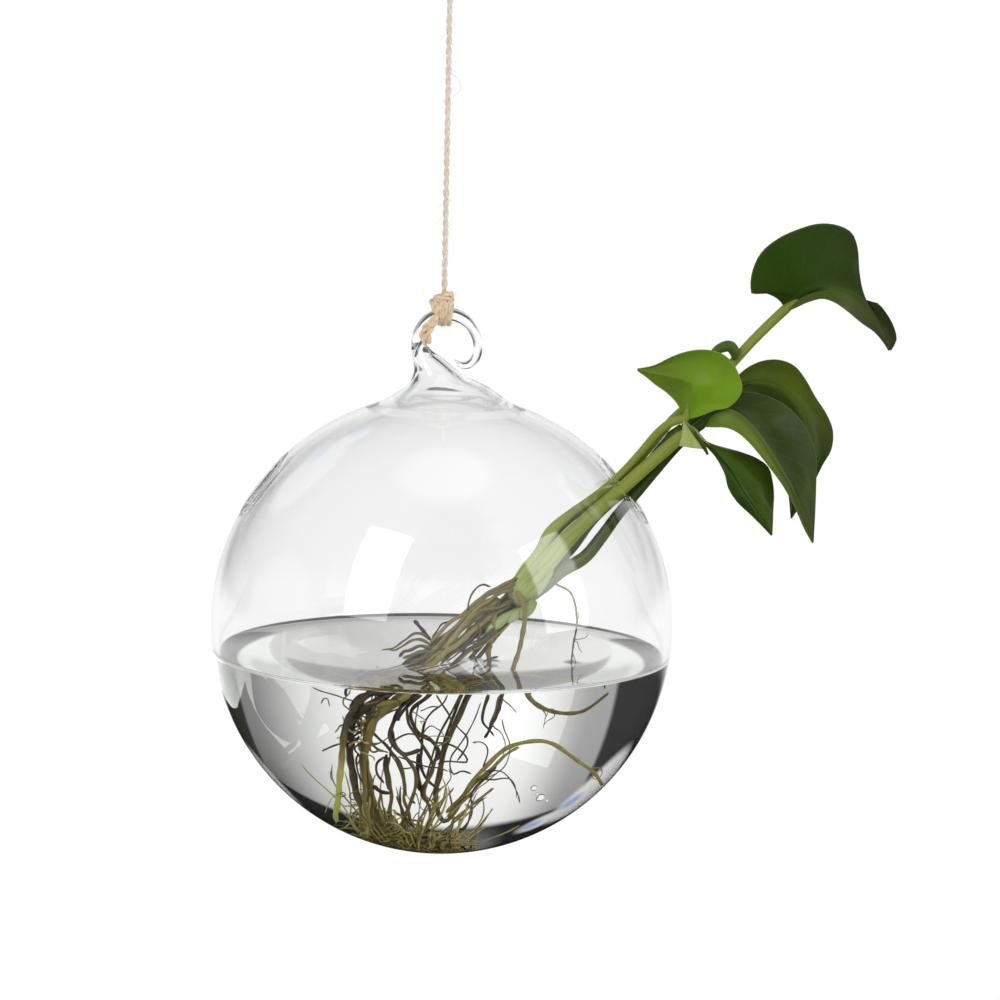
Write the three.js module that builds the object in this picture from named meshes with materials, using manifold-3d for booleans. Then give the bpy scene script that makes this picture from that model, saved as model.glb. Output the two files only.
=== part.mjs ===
// Hanging globe vase: a blown glass globe with two side mouths and a drawn glass hook,
// tied up on jute twine, with a rooted leaf cutting standing in its right mouth.
// Millimetres, +Z up. The origin is the top of the twine's hanging loop.
import * as THREE from 'three'
import { mergeVertices } from 'three/addons/utils/BufferGeometryUtils.js'
import Module from 'manifold-3d'

// Running gap between pieces that touch
const GAP = 0.3

// Glass globe
const GLOBE_DIAMETER = 120
const GLOBE_WALL = 1.6
const MOUTH_DIAMETER = 14.5
const MOUTH_ELEVATION = 37.9
const MOUTH_LIP = 2.1

// Glass hook, drawn out of the globe's top and curled into a ring
const RING_RADIUS = 7.4
const RING_RISE = 13.7
const ROD_DIAMETER = 3.6
const TIP_DIAMETER = 2
const PAD_RADIUS = 17.3
const PAD_EDGE = 0.5
const TIP_ANGLE = -62

// Jute twine
const TWINE_DIAMETER = 1.5
const CORD_LENGTH = 83
const CORD_TO_RING = 1
const KNOT_TURNS = 1.1
const RING_LOOP_TURNS = 2
const TOP_LOOP_HEIGHT = 20
const TOP_LOOP_WIDTH = 12
const TAIL_LENGTH = 6.5

// Cutting: crown, leaf stalks, leaves and roots
const DRAW_ANGLE = 48
const CROWN_LENGTH = 12
const CROWN_DEPTH = 29
const CROWN_CLEARANCE = 1.85
const FOLIAGE_LENGTH = 69.7
const LEAF_THICKNESS = 0.6
const STALK_DIAMETERS = [2.2, 2.2, 3.2, 2.8, 3.7]
const STALK_END_DIAMETERS = [2.6, 2.2, 2.6, 2.6, 3.2]
const BRACT_LENGTH = 7.2
const BRACT_WIDTH = 4.2
const BRACT_THICKNESS = 2.9
const BRACT_ANGLE = 23
const ROOT_DIAMETER = 1.4
const ROOT_TIP_DIAMETER = 0.9
const FINE_ROOT_DIAMETER = 1
const FINE_ROOT_TIP_DIAMETER = 0.6

// Worked out from the sizes above
const globeRadius = GLOBE_DIAMETER / 2
const innerRadius = globeRadius - GLOBE_WALL
const mouthRadius = MOUTH_DIAMETER / 2
const rodRadius = ROD_DIAMETER / 2
const twineRadius = TWINE_DIAMETER / 2
const ringHeight = globeRadius + RING_RISE
const loopTurnRadius = rodRadius + GAP + twineRadius
const ringLoopTop = ringHeight + RING_RADIUS + loopTurnRadius + twineRadius
const knotTurnRadius = TWINE_DIAMETER + GAP
const turnPitch = TWINE_DIAMETER + GAP
const cordBottom = ringLoopTop + GAP
const cordTop = cordBottom + CORD_LENGTH
const topKnotBottom = cordTop + GAP
const knotHeight = KNOT_TURNS * turnPitch + TWINE_DIAMETER
const loopBottom = topKnotBottom + knotHeight + GAP + twineRadius / 2
const globeDrop = loopBottom + TOP_LOOP_HEIGHT
const mouthAngle = THREE.MathUtils.degToRad(MOUTH_ELEVATION)
const drawAngle = THREE.MathUtils.degToRad(DRAW_ANGLE)

// Colours
const glassLook = { color: 0xe9f0f0, roughness: 0.03, metalness: 0 }
const twineLook = { color: 0xc9a77c, roughness: 0.9, metalness: 0 }
const crownLook = { color: 0xc3cf9a, roughness: 0.5, metalness: 0 }
const stalkLook = { color: 0x86a73f, roughness: 0.45, metalness: 0 }
const leafLook = { color: 0x2f5a16, roughness: 0.3, metalness: 0 }
const youngLeafLook = { color: 0x6f9f24, roughness: 0.35, metalness: 0 }
const rootLook = { color: 0x7a6a2e, roughness: 0.6, metalness: 0 }

const wasm = await Module()
wasm.setup()

// Positions and indices of a closed body, with shared corners merged and empty faces left out
function weld(geometry) {
  const bare = geometry.clone()
  bare.deleteAttribute('normal')
  bare.deleteAttribute('uv')
  const merged = mergeVertices(bare, 1e-4)
  const faces = []
  for (let i = 0; i < merged.index.count; i += 3) {
    const [a, b, c] = [merged.index.getX(i), merged.index.getX(i + 1), merged.index.getX(i + 2)]
    if (a !== b && b !== c && c !== a) faces.push(a, b, c)
  }
  merged.setIndex(faces)
  return merged
}

function toManifold(geometry) {
  const body = weld(geometry)
  const vertProperties = new Float32Array(body.attributes.position.array)
  const triVerts = new Uint32Array(body.index.array)
  return new wasm.Manifold(new wasm.Mesh({ numProp: 3, vertProperties, triVerts }))
}

function fromManifold(body) {
  const mesh = body.getMesh()
  const geometry = new THREE.BufferGeometry()
  geometry.setAttribute('position', new THREE.BufferAttribute(new Float32Array(mesh.vertProperties), 3))
  geometry.setIndex(new THREE.BufferAttribute(new Uint32Array(mesh.triVerts), 1))
  return geometry
}

// Closed body through rings of equally many points, the first ring's face pointing backwards
function loft(rings) {
  const count = rings[0].length
  const centre = (ring) => ring.reduce((sum, p) => sum.add(p), new THREE.Vector3()).divideScalar(count)
  const points = [centre(rings[0]), ...rings.flat(), centre(rings[rings.length - 1])]
  const last = points.length - 1
  const faces = []
  for (let j = 0; j < count; j++) {
    const k = (j + 1) % count
    faces.push(0, 1 + k, 1 + j)
    for (let i = 0; i < rings.length - 1; i++) {
      const near = 1 + i * count
      const far = near + count
      faces.push(near + j, near + k, far + k, near + j, far + k, far + j)
    }
    const end = 1 + (rings.length - 1) * count
    faces.push(end + j, end + k, last)
  }
  const geometry = new THREE.BufferGeometry().setFromPoints(points)
  geometry.setIndex(faces)
  return geometry
}

// Ring of points round a centre, in the plane of two unit vectors
function ringOf(centre, across, along, halfAcross, halfAlong, sides) {
  const ring = []
  for (let j = 0; j < sides; j++) {
    const turn = (2 * Math.PI * j) / sides
    ring.push(
      centre
        .clone()
        .addScaledVector(across, Math.cos(turn) * halfAcross)
        .addScaledVector(along, Math.sin(turn) * halfAlong),
    )
  }
  return ring
}

// Tapered round rod along a smooth curve through hand-set points
function taperedRod(points, radiusAt, steps, sides) {
  const curve = new THREE.CatmullRomCurve3(points)
  const frames = curve.computeFrenetFrames(steps, false)
  const rings = []
  for (let i = 0; i <= steps; i++) {
    const radius = radiusAt(i / steps)
    const centre = curve.getPointAt(i / steps)
    rings.push(ringOf(centre, frames.normals[i], frames.binormals[i], radius, radius, sides))
  }
  return loft(rings)
}

// Plain twine along a curve
function twine(curve, steps) {
  const section = new THREE.Shape()
  section.absarc(0, 0, twineRadius, 0, 2 * Math.PI)
  return new THREE.ExtrudeGeometry(section, { steps, curveSegments: 4, extrudePath: curve })
}

// Curve given by a formula
class FormulaCurve extends THREE.Curve {
  constructor(formula) {
    super()
    this.formula = formula
  }

  getPoint(t) {
    return this.formula(t)
  }
}

// Unit direction in the XZ plane at an angle above +X
function bearing(angle) {
  return new THREE.Vector3(Math.cos(angle), 0, Math.sin(angle))
}

const upward = new THREE.Vector3(0, 0, 1)
const away = new THREE.Vector3(0, 1, 0)

// Globe: two spheres, cut by the mouths, with a fire-polished lip round each
function globeGeometry() {
  const sphere = (radius, around, down) => {
    const profile = []
    for (let i = 0; i <= down; i++) {
      const angle = Math.PI * (i / down - 0.5)
      const reach = i === 0 || i === down ? 0 : Math.cos(angle) * radius
      profile.push(new THREE.Vector2(reach, Math.sin(angle) * radius))
    }
    return toManifold(new THREE.LatheGeometry(profile, around).rotateX(Math.PI / 2))
  }
  const lipRadius = MOUTH_LIP / 2
  const lipCircle = mouthRadius + lipRadius
  const lipHeight = Math.sqrt((globeRadius - GLOBE_WALL / 2) ** 2 - lipCircle ** 2)
  let shell = sphere(globeRadius, 40, 24).subtract(sphere(innerRadius, 32, 18))
  for (const angle of [mouthAngle, Math.PI - mouthAngle]) {
    const outward = bearing(angle)
    const turn = new THREE.Quaternion().setFromUnitVectors(upward, outward)
    const drill = new THREE.CylinderGeometry(lipCircle, lipCircle, globeRadius, 24)
    drill.rotateX(Math.PI / 2).translate(0, 0, globeRadius)
    const lip = new THREE.TorusGeometry(lipCircle, lipRadius, 6, 24).translate(0, 0, lipHeight)
    shell = shell.subtract(toManifold(drill.applyQuaternion(turn)))
    shell = shell.add(toManifold(lip.applyQuaternion(turn)))
  }
  return fromManifold(shell)
}

// Hook: a pad lying on the globe, drawn up into a rod at the left and curled over into a ring
function hookGeometry() {
  const sides = 14
  const acrossX = new THREE.Vector3(1, 0, 0)
  const seatRadius = globeRadius + GAP
  const seatHeight = (reach) => Math.sqrt(seatRadius ** 2 - reach ** 2)
  const rings = []
  for (const share of [0.1, 0.35, 0.7, 1]) {
    const reach = PAD_RADIUS * share
    const centre = new THREE.Vector3(0, 0, seatHeight(reach))
    rings.push(ringOf(centre, acrossX, away, reach, reach, sides))
  }
  const neckBottom = seatHeight(PAD_RADIUS) + PAD_EDGE
  const neckTop = ringHeight
  const neckDepth = 0.9
  // Each row is the share of the neck's height, of the ring's radius leftwards and of the pad's flare
  const neckRows = [
    [0, 0, 1],
    [0.115, 0, 0.79],
    [0.29, 0.1, 0.57],
    [0.455, 0.44, 0.35],
    [0.635, 0.65, 0.205],
    [0.81, 0.83, 0.09],
    [0.93, 0.96, 0.015],
  ]
  for (const [rise, left, flare] of neckRows) {
    const halfWidth = rodRadius + (PAD_RADIUS - rodRadius) * flare
    const halfDepth = rodRadius + (halfWidth - rodRadius) * neckDepth
    const centre = new THREE.Vector3(-RING_RADIUS * left, 0, neckBottom + (neckTop - neckBottom) * rise)
    rings.push(ringOf(centre, acrossX, away, halfWidth, halfDepth, sides))
  }
  const steps = 26
  const taperFrom = THREE.MathUtils.degToRad(50)
  const tipAngle = THREE.MathUtils.degToRad(TIP_ANGLE)
  const tipRadius = TIP_DIAMETER / 2
  const curlOut = rodRadius * 0.35
  for (let i = 0; i <= steps; i++) {
    const angle = Math.PI + (tipAngle - Math.PI) * (i / steps)
    const taper = Math.max(0, (taperFrom - angle) / (taperFrom - tipAngle))
    const curl = Math.sin(Math.PI * Math.min(1, taper * 1.15)) - taper ** 4
    const reach = RING_RADIUS + curlOut * curl
    const rod = rodRadius + (tipRadius - rodRadius) * taper
    const centre = bearing(angle).multiplyScalar(reach).setZ(Math.sin(angle) * reach + ringHeight)
    rings.push(ringOf(centre, bearing(angle).negate(), away, rod, rod, sides))
  }
  return loft(rings)
}

// Turns of twine round the vertical line of the cord
function knotGeometry(bottom) {
  const rise = KNOT_TURNS * turnPitch
  const curve = new FormulaCurve((t) => {
    const turn = 2 * Math.PI * KNOT_TURNS * t
    const height = bottom + twineRadius + rise * t
    return new THREE.Vector3(Math.cos(turn) * knotTurnRadius, Math.sin(turn) * knotTurnRadius, height)
  })
  return twine(curve, Math.ceil(KNOT_TURNS * 14))
}

// Point of the twine round the glass rod at the top of the ring, after a turn from its upper start
function ringLoopPoint(turn) {
  const middle = Math.PI / 2 + CORD_TO_RING / RING_RADIUS
  const lean = (turnPitch / RING_RADIUS) * (RING_LOOP_TURNS / 2 - turn / (2 * Math.PI))
  const reach = RING_RADIUS + Math.cos(turn) * loopTurnRadius
  const point = bearing(middle + lean).multiplyScalar(reach)
  return point.add(new THREE.Vector3(CORD_TO_RING, Math.sin(turn) * loopTurnRadius, ringHeight))
}

function ringLoopGeometry() {
  const curve = new FormulaCurve((t) => ringLoopPoint(2 * Math.PI * RING_LOOP_TURNS * t))
  return twine(curve, RING_LOOP_TURNS * 14)
}

// Cut end of the twine, hanging from the loop's left strand in front of the ring's limb
function tailGeometry() {
  const strand = ringLoopPoint(1.5 * Math.PI)
  const beside = Math.sqrt((TWINE_DIAMETER + GAP) ** 2 - twineRadius ** 2)
  const start = strand.add(new THREE.Vector3(-twineRadius, -beside, 0))
  const curve = new THREE.CatmullRomCurve3([
    start,
    start.clone().add(new THREE.Vector3(-0.26, -0.03, -0.38).multiplyScalar(TAIL_LENGTH)),
    start.clone().add(new THREE.Vector3(-0.5, 0, -0.85).multiplyScalar(TAIL_LENGTH)),
  ])
  return twine(curve, 4)
}

function cordGeometry() {
  const ends = [new THREE.Vector3(0, 0, cordBottom), new THREE.Vector3(0, 0, cordTop)]
  return twine(new THREE.LineCurve3(ends[0], ends[1]), 24)
}

// Hanging loop: both legs rise from the knot and meet over the top
function topLoopGeometry() {
  const legSpread = (TWINE_DIAMETER + GAP) / 2
  const belly = TOP_LOOP_WIDTH / 2 - twineRadius - legSpread * Math.SQRT1_2
  const height = TOP_LOOP_HEIGHT - twineRadius
  const curve = new FormulaCurve((t) => {
    const turn = Math.PI * t
    const side = -legSpread * Math.cos(turn) - belly * Math.sin(2 * turn)
    return new THREE.Vector3(side, 0, loopBottom + height * Math.sin(turn))
  })
  return twine(curve, 28)
}

// Frame of the cutting: s along the line it is drawn out on, n upwards across it, y away
const mouthCentre = bearing(mouthAngle).multiplyScalar(globeRadius - GLOBE_WALL / 2)
const drawLine = bearing(drawAngle)
const drawNormal = bearing(drawAngle + Math.PI / 2)

function onDrawLine(s, n, y) {
  return mouthCentre.clone().addScaledVector(drawLine, s).addScaledVector(drawNormal, n).setY(y)
}

// Point given from the mouth's centre, in the globe's own directions
function fromMouth([x, y, z]) {
  const place = new THREE.Vector3(x, y, z).multiplyScalar(foliageScale)
  return place.add(new THREE.Vector3(mouthCentre.x, 0, mouthCentre.z))
}

// Crown: the swollen foot that the leaf stalks grow from
const crownRadius = mouthRadius - CROWN_CLEARANCE
const crownTop = -CROWN_DEPTH
const crownBottom = crownTop - CROWN_LENGTH
const crownN = 0.8
const crownY = -0.4

// Rows of the share of the crown's length and of its girth
const crownRows = [[0, 0.88], [0.08, 0.97], [0.3, 1], [0.75, 1], [0.92, 0.98], [1, 0.92]]

function crownRow([share, girth]) {
  const centre = onDrawLine(crownBottom + CROWN_LENGTH * share, crownN, crownY)
  return { centre, reach: crownRadius * girth }
}

function crownGeometry() {
  const rings = crownRows.map((row) => {
    const { centre, reach } = crownRow(row)
    return ringOf(centre, drawNormal, away.clone().negate(), reach, reach, 16)
  })
  return loft(rings)
}

// Leaf stalks: points as along the draw line, across it and away
const stalkRoutes = [
  [
    [-22.9, 5, 2], [-16, 4.8, 2.2], [-8.5, 3.3, 2.4], [-0.1, 2.1, 2.6], [8, 2, 3.2],
    [15.6, 2.4, 4], [21.9, 2.6, 4.8], [30.2, 1.7, 6], [39.8, 1.1, 7.2], [50.1, 1.2, 8.2],
    [57.9, 0.9, 8.8],
  ],
  [
    [-21.4, 6, -0.6], [-14.6, 5.5, -0.4], [-7.2, 4.1, -0.3], [1, 3.2, -0.6],
    [9.2, 3.4, -1.8], [16.7, 4, -3.4], [20.8, 3.6, -4.7],
  ],
  [
    [-20.4, -0.6, 2.2], [-12.2, 0.3, 2.2], [-4.5, -0.2, 2.6], [2.3, -1.4, 3.4], [10.4, -1.6, 4.6],
    [18.5, -1.7, 6], [26.8, -1.6, 7.4],
  ],
  [
    [-20.2, -4.8, -1], [-13, -4.3, -1.2], [-6.1, -3.4, -1.2], [0.9, -3.1, -1], [9, -2.6, -0.8],
    [16.4, -2.2, -1.2], [22.3, -2.3, -1.9],
  ],
  [
    [-21.8, 1.9, -2.4], [-11.9, 1.7, -2.8], [-3.5, 1, -3], [5.8, 0.3, -3.4], [14.2, -0.3, -4.4],
    [19.6, -0.8, -5.4],
  ],
]
const stalkFeet = [[2.6, 1.7], [4.3, -1], [-0.6, 2.6], [-2.9, -0.6], [1.7, -3.2]]
const stalkFootRun = 1.6

// Leaves: midrib and the two margins from stalk to tip, from the mouth's centre, and the blade's camber
const leaves = [
  {
    look: leafLook,
    camber: 1.4,
    midrib: [
      [41.5, 9.2, 46.9], [43.8, 8.2, 48.9], [46.8, 7, 50.9], [50.5, 5.8, 52.1], [54.4, 4.8, 52.5],
      [58.2, 3.6, 51.4], [61.7, 2.6, 48.7], [64.8, 1.8, 44.4], [68, 1, 37.4],
    ],
    left: [
      [40.8, 9.6, 47.2], [39.8, 9, 48.7], [37.4, 7, 50.4], [34.4, 4.6, 51.3], [32, 3, 51],
      [31.5, 2.4, 53.4], [31.9, 2, 57.3], [34, 2.2, 61.9], [38.5, 3.6, 65.6], [43.4, 5.4, 67.8],
      [49, 7.2, 69.3], [54, 8.6, 68.9], [57.8, 9.2, 67], [59.4, 9, 63.5], [59.8, 8.2, 59.4],
      [60.1, 7, 54.8], [61.7, 5.2, 50], [64.6, 4, 49.3], [66.8, 3.2, 47], [68.9, 2.4, 43.5],
      [69.7, 1.6, 40], [68.3, 1, 37.3],
    ],
    right: [
      [42.2, 8.6, 46.4], [43.6, 4.6, 47.6], [46.4, 0.6, 49.5], [49.9, -2.2, 50.7], [52.8, -3.6, 50],
      [56.2, -3.8, 47.8], [60.1, -3, 44.7], [63.7, -1.6, 42.2], [66.1, -0.4, 39.5], [67.7, 0.8, 37.2],
    ],
  },
  {
    look: youngLeafLook,
    camber: 1.2,
    midrib: [
      [15.1, -6.6, 19.5], [15.5, -7.6, 22.7], [16.3, -8.8, 26], [16.3, -9.4, 28.5], [14.5, -9.4, 29.7],
      [11.4, -9, 30.4], [7.7, -8, 30.9], [2.5, -6.2, 31.8],
    ],
    left: [
      [14.8, -6.6, 19.7], [13.9, -6.4, 21.5], [12.2, -6.2, 23.9], [9.9, -6.4, 26.1], [7.1, -6.6, 28],
      [4.6, -6.4, 30], [2.3, -6, 31.5],
    ],
    right: [
      [15.6, -6.8, 19.2], [18.9, -7.2, 20.2], [22.5, -6.8, 21.7], [26, -5.6, 22.3], [28.7, -4.6, 24.6],
      [29.7, -4, 27.2], [28.8, -4, 30.6], [27.2, -4.6, 33.6], [24.8, -5.6, 35.9], [21.3, -6.8, 37.2],
      [17.8, -7.8, 37.4], [14.4, -8.4, 36.8], [11, -8.4, 35.5], [6.6, -7.4, 33.1], [2.3, -6.4, 32],
    ],
  },
  {
    look: leafLook,
    camber: 1.8,
    midrib: [
      [26.6, 8.9, 25], [30.6, 10.6, 26.5], [35.7, 12.4, 26.8], [41, 13.4, 25.3], [45.3, 12.6, 20.9],
      [47.8, 11, 14.8], [48.3, 9.4, 7.9], [46.6, 7.8, 0.3], [44.2, 6.4, -7.9],
    ],
    left: [
      [26.4, 8.9, 25.7], [29.3, 9.6, 28.9], [32.3, 11, 31.2], [36.2, 12.6, 32.7], [40.5, 14, 32.8],
      [44.5, 14.8, 31.2], [47.4, 15, 27.8], [50.3, 14.8, 23], [53.2, 14.2, 18.8], [54.9, 13.2, 14.6],
      [54.6, 12, 9.8], [52.3, 10.8, 5.7], [49.9, 9.4, 0.9], [47, 7.8, -3.9], [44.3, 6.4, -8],
    ],
    right: [
      [26.9, 8.9, 24.5], [29.5, 8.4, 23.2], [32.4, 8.2, 20.4], [36.4, 8.2, 15.6], [39.7, 8, 10],
      [42.1, 7.6, 3.8], [43.4, 7, -2.5], [44, 6.4, -7.8],
    ],
  },
  {
    look: leafLook,
    camber: 1.8,
    midrib: [
      [19.5, -2.6, 17.5], [22.1, -3.4, 20.7], [25.5, -4.4, 21.7], [28.8, -5.4, 20.6],
      [31.6, -6.2, 18.3], [34.4, -6.8, 15], [37.2, -7.2, 10.9], [40.1, -7.2, 6.4], [43.1, -6.6, 1.5],
      [46.4, -4.6, -5.6], [49.3, -2, -12.9],
    ],
    left: [
      [19.3, -2.4, 18], [22.8, 0, 22.2], [27.7, 2.2, 25.1], [32.7, 3.6, 25.4], [39, 4.2, 23.5],
      [43.3, 4.4, 20.8], [46.6, 4.4, 17.1], [48.8, 4, 12.8], [50, 3.2, 8.4], [50, 1.6, 1.9],
      [49.8, -0.4, -5.5], [49.5, -1.8, -12.9],
    ],
    right: [
      [19.7, -3, 16.9], [22.6, -5.6, 17.2], [25.6, -7.6, 17.4], [28.3, -9, 16.5], [30.9, -9.8, 14.5],
      [33.7, -10.4, 11.6], [36.5, -10.6, 8.2], [39.4, -10.2, 4.6], [42.3, -8.8, 0.1],
      [44.8, -6.8, -4.8], [47.2, -4.2, -9.8], [49.2, -2.2, -13.1],
    ],
  },
  {
    look: leafLook,
    camber: 0.8,
    midrib: [
      [16.8, -6.4, 15.8], [19.9, -6.8, 13.7], [23.4, -7.4, 10.3], [27, -7.8, 6.3], [30.6, -7.6, 1.1],
      [34.6, -6.8, -4.6], [38.2, -6, -10.6],
    ],
    left: [
      [16.5, -6.8, 16.1], [18.6, -7.6, 14.3], [20.9, -8.2, 12.1], [23.1, -8.8, 9.7], [25.4, -9.2, 5.6],
      [26.5, -9.2, 1.8], [28.8, -8.6, -1.7], [32.3, -7.6, -5], [35.8, -6.6, -8.4], [38.1, -6, -10.8],
    ],
    right: [
      [17.3, -6, 15.9], [20.7, -5.4, 13.2], [24.9, -4.4, 11.9], [29.9, -3.4, 10.5], [34.3, -3, 8.8],
      [37.1, -3.4, 6.6], [38.2, -4, 3.2], [38.6, -4.6, -0.2], [38.5, -5.4, -5], [38.4, -5.9, -10.6],
    ],
  },
]
const foliageScale = FOLIAGE_LENGTH / Math.max(...leaves[0].left.map(([x]) => x))

function stalkPlace([s, n, y]) {
  return onDrawLine(s > 0 ? s * foliageScale : s, n, y)
}

function stalkGeometry(index) {
  const [footN, footY] = stalkFeet[index]
  const start = crownTop + GAP
  const points = [
    onDrawLine(start, footN, footY),
    onDrawLine(start + stalkFootRun, footN, footY),
    ...stalkRoutes[index].map(stalkPlace),
  ]
  const leafBase = fromMouth(leaves[index].midrib[0])
  const lastRun = leafBase.clone().sub(points[points.length - 1])
  points.push(leafBase.sub(lastRun.setLength(GAP + LEAF_THICKNESS / 2)))
  const footRadius = STALK_DIAMETERS[index] / 2
  const headRadius = STALK_END_DIAMETERS[index] / 2
  return taperedRod(points, (t) => footRadius + (headRadius - footRadius) * t, points.length * 2, 8)
}

// Leaf blade: margins and midrib as smooth curves, joined by a cambered grid with a skin on each face
function leafGeometry({ midrib, left, right, camber }) {
  const smooth = (points) => new THREE.CatmullRomCurve3(points.map(fromMouth))
  const [mid, one, other] = [smooth(midrib), smooth(left), smooth(right)]
  const lengthwise = 16
  const across = 8
  const fullyBowedWidth = 10
  const grid = []
  for (let i = 0; i <= lengthwise; i++) {
    const t = i / lengthwise
    const [m, a, b] = [mid.getPointAt(t), one.getPointAt(t), other.getPointAt(t)]
    const lift = new THREE.Vector3().crossVectors(mid.getTangentAt(t), b.clone().sub(a)).normalize()
    for (let j = 0; j <= across; j++) {
      const v = (2 * j) / across - 1
      const edge = v < 0 ? a : b
      const point = m.clone().lerp(edge, Math.abs(v))
      const width = m.distanceTo(edge)
      const bow = camber * Math.sin(Math.PI * Math.abs(v)) * Math.min(1, width / fullyBowedWidth)
      grid.push(point.addScaledVector(lift, bow))
    }
  }
  const row = across + 1
  const faces = []
  for (let i = 0; i < lengthwise; i++) {
    for (let j = 0; j < across; j++) {
      const p = i * row + j
      faces.push(p, p + 1, p + row + 1, p, p + row + 1, p + row)
    }
  }
  const sheet = new THREE.BufferGeometry().setFromPoints(grid)
  sheet.setIndex(faces)
  sheet.computeVertexNormals()
  const normals = sheet.attributes.normal
  const half = LEAF_THICKNESS / 2
  const normal = (i) => new THREE.Vector3().fromBufferAttribute(normals, i)
  const skin = (side) => grid.map((p, i) => p.clone().addScaledVector(normal(i), side * half))
  const points = [...skin(1), ...skin(-1)]
  const below = grid.length
  const solidFaces = [...faces]
  for (let i = 0; i < faces.length; i += 3) {
    solidFaces.push(below + faces[i], below + faces[i + 2], below + faces[i + 1])
  }
  const rim = []
  for (let j = 0; j < across; j++) rim.push(j)
  for (let i = 0; i < lengthwise; i++) rim.push(i * row + across)
  for (let j = across; j > 0; j--) rim.push(lengthwise * row + j)
  for (let i = lengthwise; i > 0; i--) rim.push(i * row)
  for (let k = 0; k < rim.length; k++) {
    const [p, q] = [rim[k], rim[(k + 1) % rim.length]]
    solidFaces.push(p, below + q, q, p, below + p, below + q)
  }
  const geometry = new THREE.BufferGeometry().setFromPoints(points)
  geometry.setIndex(solidFaces)
  return geometry
}

// Bract: the small rolled scale that leans on the top leaf's stalk
const bractPlace = [43.8, 4, 5.6]

function bractGeometry() {
  const centre = stalkPlace(bractPlace)
  const lengthways = bearing(THREE.MathUtils.degToRad(BRACT_ANGLE))
  const upwards = bearing(THREE.MathUtils.degToRad(BRACT_ANGLE + 90))
  const rings = [0.1, 0.25, 0.5, 0.75, 0.9].map((share) => {
    const turn = Math.PI * share
    const reach = (Math.sin(turn) * BRACT_WIDTH) / 2
    const middle = centre.clone().addScaledVector(lengthways, (-Math.cos(turn) * BRACT_LENGTH) / 2)
    const depth = (reach * BRACT_THICKNESS) / BRACT_WIDTH
    return ringOf(middle, upwards, away.clone().negate(), reach, depth, 10)
  })
  return loft(rings)
}

// Roots: whether the tip rests on the globe's floor, where the root leaves the crown's foot,
// across and away from its middle, and its route in hundredths of the globe's inner radius
const rootRoutes = [
  {
    onFloor: true,
    foot: [2.9, -1.6],
    route: [
      [23.6, -9.4, 11.3], [16.1, -12, 5.5], [8.7, -15.2, 0], [0.9, -18.3, -6.2], [-7.4, -22.1, -12.8],
      [-15.2, -26.9, -18.7], [-22.1, -32.5, -23.1], [-28.9, -34.6, -27.6], [-33, -33.2, -33.2],
      [-32.7, -30.8, -41.1], [-31.5, -27.4, -53.1], [-27.4, -22.3, -68.5], [-25.7, -19.9, -78.8],
    ],
  },
  {
    onFloor: true,
    foot: [0.9, -3.1],
    route: [
      [20.9, -12, 4.8], [11.6, -16.3, -2.4], [1.5, -21.6, -9.9], [-9.1, -27.1, -18.2],
      [-18.3, -31.7, -25.2], [-24.7, -33.4, -31.8], [-27.2, -30.1, -42.8], [-26, -25.7, -54.8],
      [-22.9, -20.5, -68.5], [-21.1, -16.4, -82.2],
    ],
  },
  {
    onFloor: true,
    foot: [2, 1.9],
    route: [
      [21.4, -2.1, 10.3], [12, -7.9, 2.7], [0, -13.7, -4.5], [-12, -20.5, -12.7],
      [-23.1, -30.8, -19.2], [-32.9, -37.8, -27.7], [-36.5, -39.4, -41.1], [-37.8, -36.6, -56.5],
      [-41.6, -28.4, -78.8],
    ],
  },
  {
    onFloor: true,
    foot: [-1.9, -2.7],
    route: [
      [22.9, -13, -1.7], [13.7, -16.4, -7.9], [4.1, -20.5, -15.4], [-4.1, -23.1, -21.7],
      [-10.1, -24.1, -27.9], [-7.9, -24, -34.9], [-0.7, -21.9, -41.1], [-2.7, -20.5, -49],
      [-4.8, -20.5, -56.5], [-2.9, -17.1, -66.8], [-8.6, -12.7, -79.8],
    ],
  },
  {
    onFloor: true,
    foot: [-0.6, 3.2],
    route: [
      [22.6, 1, 2.4], [12.7, -4.1, -5.1], [1.7, -12, -13.7], [-8.2, -20.4, -21.2],
      [-15.9, -28.4, -29.3], [-17.8, -29.8, -37.7], [-12, -27.4, -44.5], [-7.9, -24.7, -52.4],
      [-10.6, -19.9, -63.4], [-16.1, -13.7, -80.5],
    ],
  },
  {
    foot: [0.2, 0.1],
    route: [
      [25, -5.1, 1.7], [21.6, -9.2, -6.2], [21.2, -16.4, -14], [21.9, -22.9, -20.9],
      [19.5, -25.7, -29.8], [16.1, -26.4, -36.6],
    ],
  },
  {
    onFloor: true,
    foot: [-3.1, 0.2],
    route: [
      [24.7, -2.7, -5.1], [16.4, -4.5, -14.4], [8.6, -7.9, -25.7], [2.4, -9.6, -41.1],
      [-1, -9.6, -56.5], [2.1, -9.9, -67.8], [7.9, -12.7, -59.9], [14.7, -15.4, -49],
      [24.7, -17.1, -40.4], [35.1, -17.1, -38.4], [46.2, -17.1, -43.5], [56.2, -15.4, -51.7],
      [65.4, -13.7, -61.6],
    ],
  },
]
const rootFootRun = 2.2
const rootFootSpread = 1.05

// Fine roots: the crown's row that each leaves, the turn round it in degrees, and its route as above
const fineRoots = [
  {
    row: 2,
    turn: 200,
    route: [
      [38.7, -16.4, 6.8], [33.6, -24, -6.8], [31.5, -32.5, -19.5], [38.4, -35.3, -25.3],
      [52.6, -35.3, -27.1], [64.4, -33.6, -20.2],
    ],
  },
  {
    row: 3,
    turn: 225,
    route: [[56.8, -11.3, 16.4], [59.9, -11, 3.9], [58.6, -10.3, -6.8], [57.5, -10.3, -20.5]],
  },
]

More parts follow.
